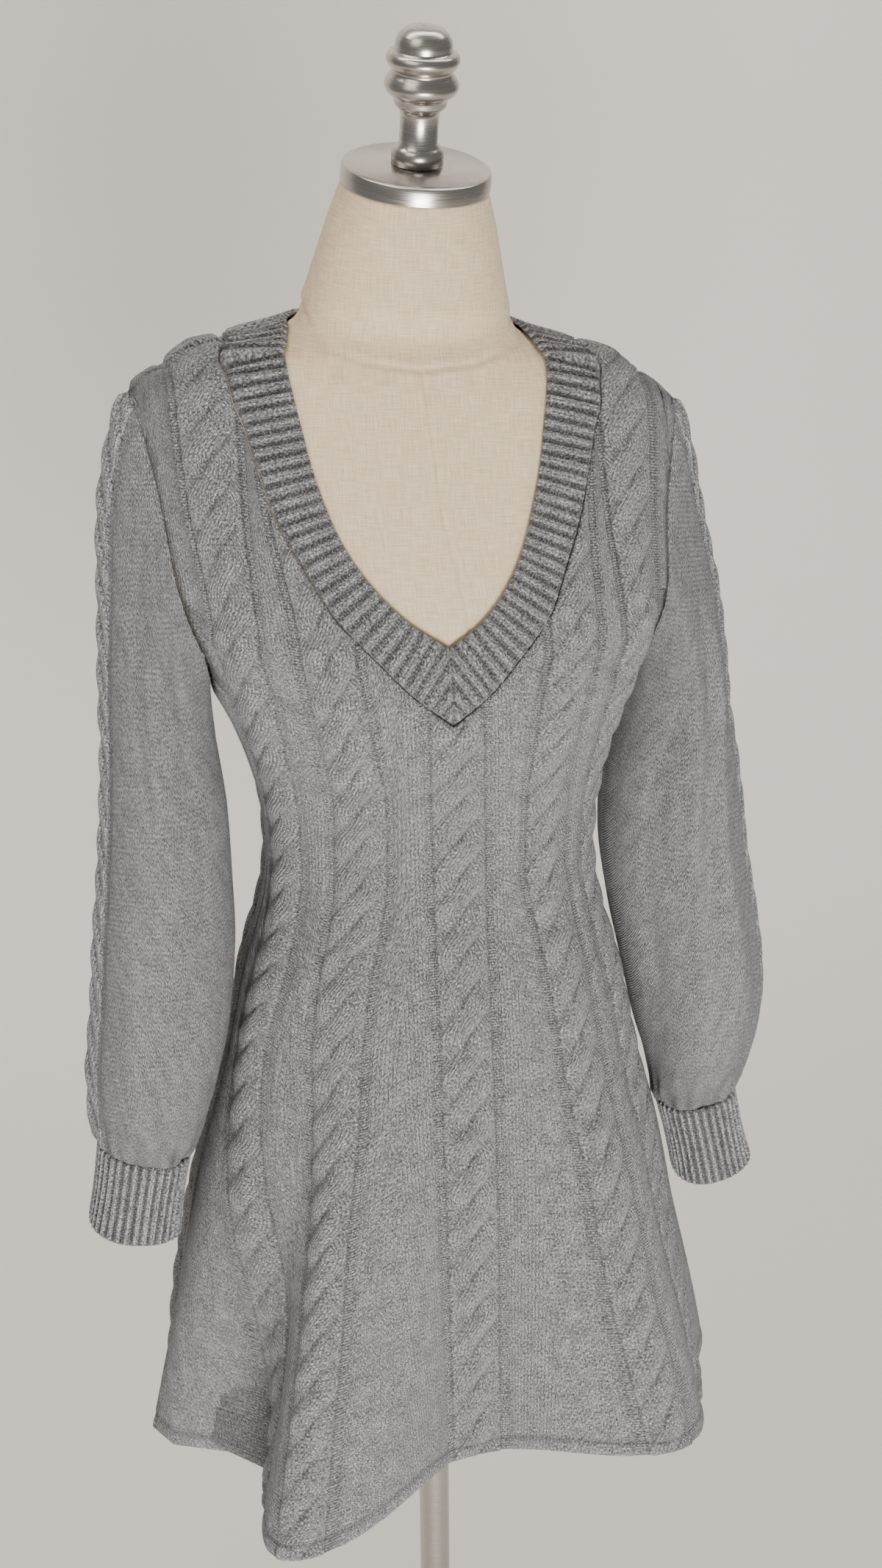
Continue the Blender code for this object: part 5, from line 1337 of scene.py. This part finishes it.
def build_sleeve(name, side, table, creases, fuzz_seed):
    """A sleeve: one cable down its outer side, reverse plain knit round the rest, gathers at the cuff."""
    sheet = SleeveSheet(table)
    rows = round(sheet.lengths[-1].max() / ROW_STEP)
    points, normals, totals = even_columns(sheet, rows)
    width = np.linalg.norm(np.diff(points, axis=1), axis=-1).sum(axis=1)
    cable = np.linspace(-CHANNEL_EDGE, CHANNEL_EDGE, 2 * round(CHANNEL_EDGE / CABLE_STEP) + 1)
    plain = np.linspace(CHANNEL_EDGE / width.max(), 1 - CHANNEL_EDGE / width.max(), 64)[1:-1]
    offsets = np.concatenate([cable / width[:, None], np.broadcast_to(plain, (rows, len(plain)))], axis=1)
    narrow = CHANNEL_EDGE / width[:, None]
    spread = (plain - plain.min()) / (plain.max() - plain.min())
    offsets[:, len(cable) :] = narrow * 1.06 + (1 - 2.12 * narrow) * spread
    place = np.mod(offsets, 1) * SLEEVE_COLUMNS
    k = np.minimum(place.astype(int), SLEEVE_COLUMNS - 1)
    part = (place - k)[..., None]
    row = np.arange(rows)[:, None]
    surface = points[row, k] * (1 - part) + points[row, k + 1] * part
    out = normals[row, k] * (1 - part) + normals[row, k + 1] * part
    out /= np.linalg.norm(out, axis=-1, keepdims=True)
    total = totals[k] * (1 - part[..., 0]) + totals[k + 1] * part[..., 0]
    length = np.linspace(0, 1, rows)[:, None] * total
    around = np.where(offsets > 0.5, offsets - 1, offsets) * width[:, None]
    left = total - length
    fade = smoothstep(left / 0.014) * smoothstep(length / 0.006)
    relief = cable_relief(around, length / CABLE_PITCH, CHANNEL_DEPTH)
    gather = np.sin(2 * pi * GATHERS * offsets + 1.7 * np.sin(2 * pi * offsets))
    gather = gather * 0.0016 * smoothstep(1 - left / 0.055) * smoothstep(left / 0.004 + 0.3)
    edge = np.minimum(length, left)
    soft = 0.0009 * (1 - smoothstep(edge / 0.003))
    bend = crease_height(creases, around, length) + crease_height(creases, around + width[:, None], length)
    bend = bend + gather
    outer = surface + out * (relief * fade + bend - soft)[..., None]
    inner_rows = np.unique(np.append(np.arange(0, rows, INNER_ROWS), rows - 1))
    inner = (surface + out * (bend - CLOTH)[..., None])[inner_rows]
    count = outer.shape[1]
    faces = wall_faces(rows, len(inner), count)
    every = np.concatenate([outer.reshape(-1, 3), inner.reshape(-1, 3)])
    every[:, 0] *= side
    obj = make_piece(name + "_knit", lean(every), faces, KNITTED, name)
    pick = np.concatenate([np.arange(rows * count), (inner_rows[:, None] * count + np.arange(count)).ravel()])
    wide = np.mod(offsets, 1) * width.mean()
    stitches = np.stack([wide, -length], axis=-1).reshape(-1, 2)[pick][corners_of(obj)]
    set_stitches(obj, close_round(stitches, width.mean()))
    set_points(obj, "purl", (np.abs(around) > CHANNEL_START).ravel()[pick])
    # Painted shade in the cable's crevices and channels and in the troughs of the gathers; painted highlight
    # on the crests.
    hollow = painted_shading_of(relief, around, length / CABLE_PITCH, CHANNEL_DEPTH)
    hollow = hollow - 240 * gather * (gather < 0)
    set_points(obj, "hollow", hollow.ravel()[pick])
    face_out(obj)
    return obj, add_fuzz(obj, (rows - 1) * count, 15000, SLEEVE_FUZZ_LENGTH, fuzz_seed)


def build_cuff(name, side, table, cuff_lean, fuzz_seed):
    """A ribbed cuff that spreads a little and waves along its lower edge."""
    top = table[-1]
    columns = CUFF_RIBS * 10
    shares = np.arange(columns) / columns
    ring = sleeve_ring(table, top.height, shares)
    out = (ring - [top.middle, 0, 0]) * [1, 1, 0]
    out /= np.linalg.norm(out, axis=1, keepdims=True)
    down = np.linspace(0, 1, CUFF_ROWS)[:, None]
    rib = np.clip(0.5 + 0.8 * np.cos(2 * pi * CUFF_RIBS * shares), 0, 1)
    edge = np.minimum(down, 1 - down) * CUFF_LENGTH
    soft = 0.0012 * (1 - np.sqrt(1 - np.clip(1 - edge / 0.003, 0, 1) ** 2))
    wave = 0.0012 * down**2 * np.sin(2 * pi * 3 * shares + side)
    squeeze = -0.0012 * np.sin(pi * down) + wave
    raised = 0.0021 * smoothstep(rib) * smoothstep(edge / 0.002 + 0.3) - soft + squeeze - 0.0004

    def place(lift, rows):
        points = ring[None] + out[None] * lift[..., None]
        tilt = CUFF_TILT * (points[..., 0] - top.middle)
        points[..., 2] = top.height + tilt - SEAM_GAP - rows * CUFF_LENGTH
        points[..., 0] += cuff_lean * rows
        return points

    outer = place(raised, down)
    inner = place(np.broadcast_to(squeeze - CLOTH + 0.0005, raised.shape), down)[::5]
    faces = wall_faces(CUFF_ROWS, len(inner), columns)
    every = np.concatenate([outer.reshape(-1, 3), inner.reshape(-1, 3)])
    every[:, 0] *= side
    obj = make_piece(name + "_rib", lean(every), faces, RIBBED, name)
    girth = np.linalg.norm(np.diff(ring, axis=0), axis=1).sum()
    uv = np.stack(np.broadcast_arrays(shares * girth, -down * CUFF_LENGTH), axis=-1)
    uv = np.concatenate([uv.reshape(-1, 2), uv[::5].reshape(-1, 2)])
    set_stitches(obj, close_round(uv[corners_of(obj)], girth))
    purl = np.broadcast_to(rib < 0.25, raised.shape)
    set_points(obj, "purl", np.concatenate([purl.ravel(), purl[::5].ravel()]))
    # Painted shade between the ribs and painted highlight on them.
    hollow = np.broadcast_to(1 - 1.6 * rib, raised.shape)
    set_points(obj, "hollow", np.concatenate([hollow.ravel(), hollow[::5].ravel()]))
    face_out(obj)
    return obj, add_fuzz(obj, (CUFF_ROWS - 1) * columns, 4000, RIB_FUZZ_LENGTH, fuzz_seed)


# ---------------------------------------------------------------- dress form and stand
def seam_groove(away, half_width, depth):
    """A sewn seam: a narrow groove between two slightly raised lips."""
    lips = np.exp(-(((np.abs(away) - 2.6 * half_width) / (1.5 * half_width)) ** 2))
    return depth * (0.45 * lips - np.exp(-((away / half_width) ** 2)))


def build_form():
    """The padded form in its linen cover, with the neck seam and the seams down front and back."""
    columns, rows = 200, 236
    turns = np.linspace(-pi, pi, columns, endpoint=False)
    turns = turns - 0.36 * np.sin(2 * turns)
    shares = np.linspace(0, 1, rows)
    heights = np.interp(shares, [0, 0.05, 0.30, 1], [FORM_BOTTOM, 0.722, 1.14, FORM_TOP])
    turn, height = np.meshgrid(turns, heights)
    inset = column(INSET, "depth", height)
    inward = -body_normal(turn, height, 0.0)
    inward[..., 2] *= smoothstep((height - 0.76) / 0.1)
    inward[..., 2] *= 1 - smoothstep((height - 1.40) / 0.03)
    neck = np.interp(np.degrees(np.abs(turn)), *np.array(NECK_SEAM).T)
    middle = np.interp(height, *np.array(FRONT_SEAM).T)
    arc = np.abs(turn - np.radians(middle)) * column(BODY, "front", height) * 0.9
    behind = (pi - np.abs(turn)) * column(BODY, "back", height) * 0.9
    lift = seam_groove(height - neck, 0.0015, 0.0013)
    below = smoothstep((neck - height) / 0.004)
    lift = lift + below * seam_groove(arc, 0.0012, 0.0011) * (arc < 0.02)
    lift = lift + below * seam_groove(behind, 0.0012, 0.0011) * (behind < 0.02)
    points = body_point(turn, height, 0.0) + inset[..., None] * inward - lift[..., None] * inward
    points[..., 2] += NECK_TILT * points[..., 1] * smoothstep((height - 1.385) / 0.05)
    faces = grid_faces(rows, columns).tolist()
    every = points.reshape(-1, 3)
    first = len(every)
    every = np.concatenate([every, [[0, 0, FORM_BOTTOM], [0, 0, FORM_TOP]]])
    ring = np.arange(columns)
    after = (ring + 1) % columns
    top = (rows - 1) * columns
    faces += np.stack([after, ring, np.full(columns, first)], axis=1).tolist()
    faces += np.stack([ring + top, after + top, np.full(columns, first + 1)], axis=1).tolist()
    obj = make_piece("form_linen", lean(every), faces, LINEN, "form_torso")
    girth = np.linalg.norm(np.diff(points, axis=1), axis=-1)
    girth = np.concatenate([np.zeros((rows, 1)), np.cumsum(girth, axis=1)], axis=1)
    girth = girth - girth[:, columns // 2][:, None]
    rise = np.concatenate([[0], np.cumsum(np.linalg.norm(np.diff(points[:, columns // 2], axis=0), axis=-1))])
    uv = np.stack(np.broadcast_arrays(girth, rise[:, None]), axis=-1).reshape(-1, 2)
    uv = np.concatenate([uv, [[0, 0], [0, rise[-1]]]])
    corner = corners_of(obj)
    places = uv[corner]
    place = corner % columns
    far = np.zeros(len(corner))
    quads = (rows - 1) * columns * 4
    around = place[:quads].reshape(-1, 4)
    wrapped = (around.max(axis=1) - around.min(axis=1) > 2)[:, None] & (around == 0)
    row = (corner[:quads] // columns).reshape(-1, 4)
    whole = girth[np.arange(rows), -1] + np.linalg.norm(points[:, 0] - points[:, -1], axis=-1) - girth[:, 0]
    far[:quads] = np.where(wrapped, whole[row], 0).ravel()
    places[:, 0] += far
    set_stitches(obj, places)
    face_out(obj)
    return obj


def turned(name, profile, material, matrix, bevel, stands_for):
    """A turned part from (radius, height) pairs listed from its top down, with softly broken edges."""
    mesh = bpy.data.meshes.new(name)
    mesh.from_pydata([(r, 0, z) for r, z in profile], [(i, i + 1) for i in range(len(profile) - 1)], [])
    obj = bpy.data.objects.new(name, mesh)
    obj.matrix_world = matrix
    screw = obj.modifiers.new("Screw", "SCREW")
    screw.steps = screw.render_steps = bpy.context.scene.dress_sizes.turned_steps
    screw.use_merge_vertices = True
    screw.merge_threshold = 0.0001
    screw.use_smooth_shade = True
    if bevel:
        edges = obj.modifiers.new("Bevel", "BEVEL")
        edges.width = bevel
        edges.segments = 3
        edges.angle_limit = radians(28)
        edges.harden_normals = True
    join_part(obj, material, stands_for)


def smooth_profile(points, steps):
    """A turned outline rounded through its points, for the finial's rings."""
    points = np.array(points)
    along = np.concatenate([[0], np.cumsum(np.linalg.norm(np.diff(points, axis=0), axis=1))])
    at = np.linspace(0, along[-1], steps)
    return [tuple(float(smooth_through(t, along, points[:, axis])) for axis in (0, 1)) for t in at]


# ---------------------------------------------------------------- settings that a user would change
class DressSizes(bpy.types.PropertyGroup):
    """Sizes that the real garment sets."""

    fuzz_length: FloatProperty(
        name="Fuzz length", description="Length of the panels' loose fibres", default=0.0042, unit="LENGTH"
    )
    fuzz_count: IntProperty(name="Fuzz count", description="Loose fibres on each panel", default=24000)
    turned_steps: IntProperty(name="Turned steps", description="Sides of a turned metal part", default=128)
    edge_round: FloatProperty(
        name="Broken edge", description="Rounding of the metal parts' edges", default=0.0006, unit="LENGTH"
    )


def colour_setting(name, description, hex_code):
    return FloatVectorProperty(
        name=name, description=description, default=linear(hex_code), subtype="COLOR", min=0.0, max=1.0
    )


class DressColours(bpy.types.PropertyGroup):
    """Colours of the wool, linen, steel and room."""

    wool_dark: colour_setting("Wool, dark", "Darkest fibres of the heather yarn", "505053")
    wool_middle: colour_setting("Wool, middle", "Most of the heather yarn", "959698")
    wool_light: colour_setting("Wool, light", "Lightest fibres of the heather yarn", "DEDEDE")
    linen_light: colour_setting("Linen, light", "Thin threads of the cover", "EDD9B9")
    linen_dark: colour_setting("Linen, dark", "Slubs of the cover", "CFB690")
    steel: colour_setting("Steel", "Cap, finial, pole and base", "B9B4AE")
    room: colour_setting("Room", "Floor and wall", "F2EEE8")


class DRESS_OT_materials(bpy.types.Operator):
    """Makes the wool, linen, steel and paint"""

    bl_idname = "dress.materials"
    bl_label = "Materials"

    def execute(self, context):
        colours = context.scene.dress_colours
        wool = (colours.wool_dark, colours.wool_middle, colours.wool_light)
        # The last number is the painted shade between stitches.
        wool_material(KNITTED, wool, 0.60)
        wool_material(RIBBED, wool, 0.55)
        fibre_material(FIBRES, colours.wool_light)
        linen_material(LINEN, colours.linen_light, colours.linen_dark)
        steel_material(STEEL, colours.steel, 0.27)
        steel_material(TUBE, colours.steel, 0.30)
        wall_material(PAINT, colours.room)
        return {"FINISHED"}


class DRESS_OT_panels(bpy.types.Operator):
    """Knits the front and back panels"""

    bl_idname = "dress.panels"
    bl_label = "Front and back"

    def execute(self, context):
        for name, back, cables, creases, seed in (
            ("front_panel", False, FRONT_CABLES, FRONT_CREASES, 11),
            ("back_panel", True, BACK_CABLES, BACK_CREASES, 12),
        ):
            piece, fuzz = build_panel(name, back, cables, creases, seed)
        return {"FINISHED"}


class DRESS_OT_neckband(bpy.types.Operator):
    """Knits the ribbed band round the neck"""

    bl_idname = "dress.neckband"
    bl_label = "Neckband"

    def execute(self, context):
        piece, fuzz = build_neckband()
        return {"FINISHED"}


class DRESS_OT_sleeves(bpy.types.Operator):
    """Knits both sleeves and their cuffs"""

    bl_idname = "dress.sleeves"
    bl_label = "Sleeves and cuffs"

    def execute(self, context):
        for name, side, table, creases, cuff_lean, seed in (
            ("left", -1, LEFT_SLEEVE, LEFT_SLEEVE_CREASES, LEFT_CUFF_LEAN, 21),
            ("right", 1, RIGHT_SLEEVE, RIGHT_SLEEVE_CREASES, RIGHT_CUFF_LEAN, 22),
        ):
            sleeve, fuzz = build_sleeve(name + "_sleeve", side, table, creases, seed)
            cuff, fuzz = build_cuff(name + "_cuff", side, table, cuff_lean, seed + 2)
        return {"FINISHED"}


class DRESS_OT_form(bpy.types.Operator):
    """Pads and covers the dress form"""

    bl_idname = "dress.form"
    bl_label = "Dress form"

    def execute(self, context):
        build_form()
        return {"FINISHED"}


class DRESS_OT_stand(bpy.types.Operator):
    """Turns the neck cap, finial, pole and base plate"""

    bl_idname = "dress.stand"
    bl_label = "Stand"

    def execute(self, context):
        edge = context.scene.dress_sizes.edge_round
        foot = Vector(lean([(0, 0, FORM_TOP + SEAM_GAP)])[0])
        tilt = Matrix.Rotation(radians(8.5), 4, "X") @ Matrix.Rotation(radians(4.0), 4, "Y")
        cap = Matrix.Translation(foot) @ tilt
        turned("cap_steel", CAP_PROFILE, STEEL, cap, edge, "neck_cap")
        seat = cap @ Vector((0, 0, CAP_PROFILE[0][1] + 3 * SEAM_GAP))
        upright = Matrix.Rotation(radians(8.5), 4, "X") @ Matrix.Rotation(radians(2.3), 4, "Y")
        rings = smooth_profile(FINIAL_PROFILE[:15], 90) + list(FINIAL_PROFILE[15:])
        turned("finial_steel", rings, STEEL, Matrix.Translation(seat) @ upright, 0, "finial")
        top = FORM_BOTTOM - SEAM_GAP
        low = SOCKET_FLOOR + SEAM_GAP
        pole = ((0, top), (POLE_RADIUS, top), (POLE_RADIUS, low), (0, low))
        turned("pole_tube", pole, TUBE, Matrix.Identity(4), edge, "pole")
        turned("base_disc", BASE_PROFILE, STEEL, Matrix.Identity(4), edge, "base_plate")
        return {"FINISHED"}


class DRESS_OT_stage(bpy.types.Operator):
    """Sets the floor, the sweep behind, the lights and the camera"""

    bl_idname = "dress.stage"
    bl_label = "Stage"

    def execute(self, context):
        add_sweep()
        add_light("key", (-0.1, -2.8, 0.5), (0, 0, 0.85), (1.0, 1.0), 96, "FFFDFA")
        add_light("over", (-1.2, -1.2, 2.9), (0, 0, 1.0), (1.2, 1.2), 12, "FFF6EC")
        add_light("wall", (0.3, 0.4, 3.7), (0.2, 2.4, 0.5), (5.0, 0.8), 95, "FFF8F1")
        world = bpy.data.worlds.new("room")
        world.use_nodes = True
        world.node_tree.nodes["Background"].inputs["Color"].default_value = (*linear("E6E6E6"), 1)
        world.node_tree.nodes["Background"].inputs["Strength"].default_value = 0.30
        context.scene.world = world
        add_camera(context.scene)
        return {"FINISHED"}


def add_sweep():
    """A floor that curves up into a wall, as a paper sweep does."""
    width, depth, bend, height = 9.0, 2.3, 1.1, 4.5
    outline = [(-5.0, 0.0), (depth - bend, 0.0)]
    outline += [(depth - bend + bend * sin(t), bend * (1 - cos(t))) for t in np.linspace(0, pi / 2, 24)[1:]]
    outline.append((depth, height))
    points = [(side * width / 2, y, z) for y, z in outline for side in (-1, 1)]
    faces = [(2 * i, 2 * i + 1, 2 * i + 3, 2 * i + 2) for i in range(len(outline) - 1)]
    mesh = bpy.data.meshes.new("sweep")
    mesh.from_pydata(points, [], faces)
    mesh.shade_smooth()
    mesh.materials.append(bpy.data.materials[PAINT])
    obj = bpy.data.objects.new("sweep", mesh)
    bpy.context.scene.collection.objects.link(obj)


def add_light(name, place, aim, size, power, hex_code):
    lamp = bpy.data.lights.new(name, "AREA")
    lamp.shape = "RECTANGLE"
    lamp.size, lamp.size_y = size
    lamp.energy = power
    lamp.color = linear(hex_code)
    obj = bpy.data.objects.new(name, lamp)
    obj.location = place
    obj.rotation_euler = (Vector(aim) - Vector(place)).to_track_quat("-Z", "Y").to_euler()
    bpy.context.scene.collection.objects.link(obj)


def add_camera(scene):
    azimuth, pitch, roll = radians(CAMERA_AZIMUTH), radians(CAMERA_PITCH), radians(CAMERA_ROLL)
    lens = bpy.data.cameras.new("camera")
    lens.sensor_fit = "VERTICAL"
    lens.sensor_height = SENSOR
    lens.lens = SENSOR * FOCAL_PIXELS / PHOTO_HEIGHT
    lens.shift_x = SHIFT_PIXELS / PHOTO_HEIGHT
    obj = bpy.data.objects.new("camera", lens)
    place = Vector((CAMERA_DISTANCE * sin(azimuth), -CAMERA_DISTANCE * cos(azimuth), CAMERA_HEIGHT))
    aim = Matrix.Rotation(azimuth, 4, "Z") @ Matrix.Rotation(pi / 2 - pitch, 4, "X")
    aim = aim @ Matrix.Rotation(-roll, 4, "Z")
    obj.matrix_world = Matrix.Translation(place) @ aim
    scene.collection.objects.link(obj)
    scene.camera = obj


class DRESS_PT_sidebar(bpy.types.Panel):
    """Lists the pieces and their settings"""

    bl_label = "Cable-knit dress"
    bl_idname = "DRESS_PT_sidebar"
    bl_space_type = "VIEW_3D"
    bl_region_type = "UI"
    bl_category = "Dress"

    def draw(self, context):
        for settings in (context.scene.dress_sizes, context.scene.dress_colours):
            for name in settings.__annotations__:
                self.layout.prop(settings, name)
        for step in STEPS:
            self.layout.operator(step.bl_idname)


STEPS = (
    DRESS_OT_materials,
    DRESS_OT_panels,
    DRESS_OT_neckband,
    DRESS_OT_sleeves,
    DRESS_OT_form,
    DRESS_OT_stand,
    DRESS_OT_stage,
)
CLASSES = (DressSizes, DressColours, *STEPS, DRESS_PT_sidebar)


def register():
    for made in CLASSES:
        bpy.utils.register_class(made)
    bpy.types.Scene.dress_sizes = PointerProperty(type=DressSizes)
    bpy.types.Scene.dress_colours = PointerProperty(type=DressColours)


def unregister():
    del bpy.types.Scene.dress_colours
    del bpy.types.Scene.dress_sizes
    for made in reversed(CLASSES):
        bpy.utils.unregister_class(made)


def clear_scene():
    """Removes what Blender starts with; the frame's own objects stay."""
    for name in ("Cube", "Light", "Camera"):
        if name in bpy.data.objects:
            bpy.data.objects.remove(bpy.data.objects[name], do_unlink=True)


def main():
    register()
    clear_scene()
    bpy.ops.dress.materials()
    bpy.ops.dress.panels()
    bpy.ops.dress.neckband()
    bpy.ops.dress.sleeves()
    bpy.ops.dress.form()
    bpy.ops.dress.stand()
    bpy.ops.dress.stage()


if __name__ == "__main__":
    main()
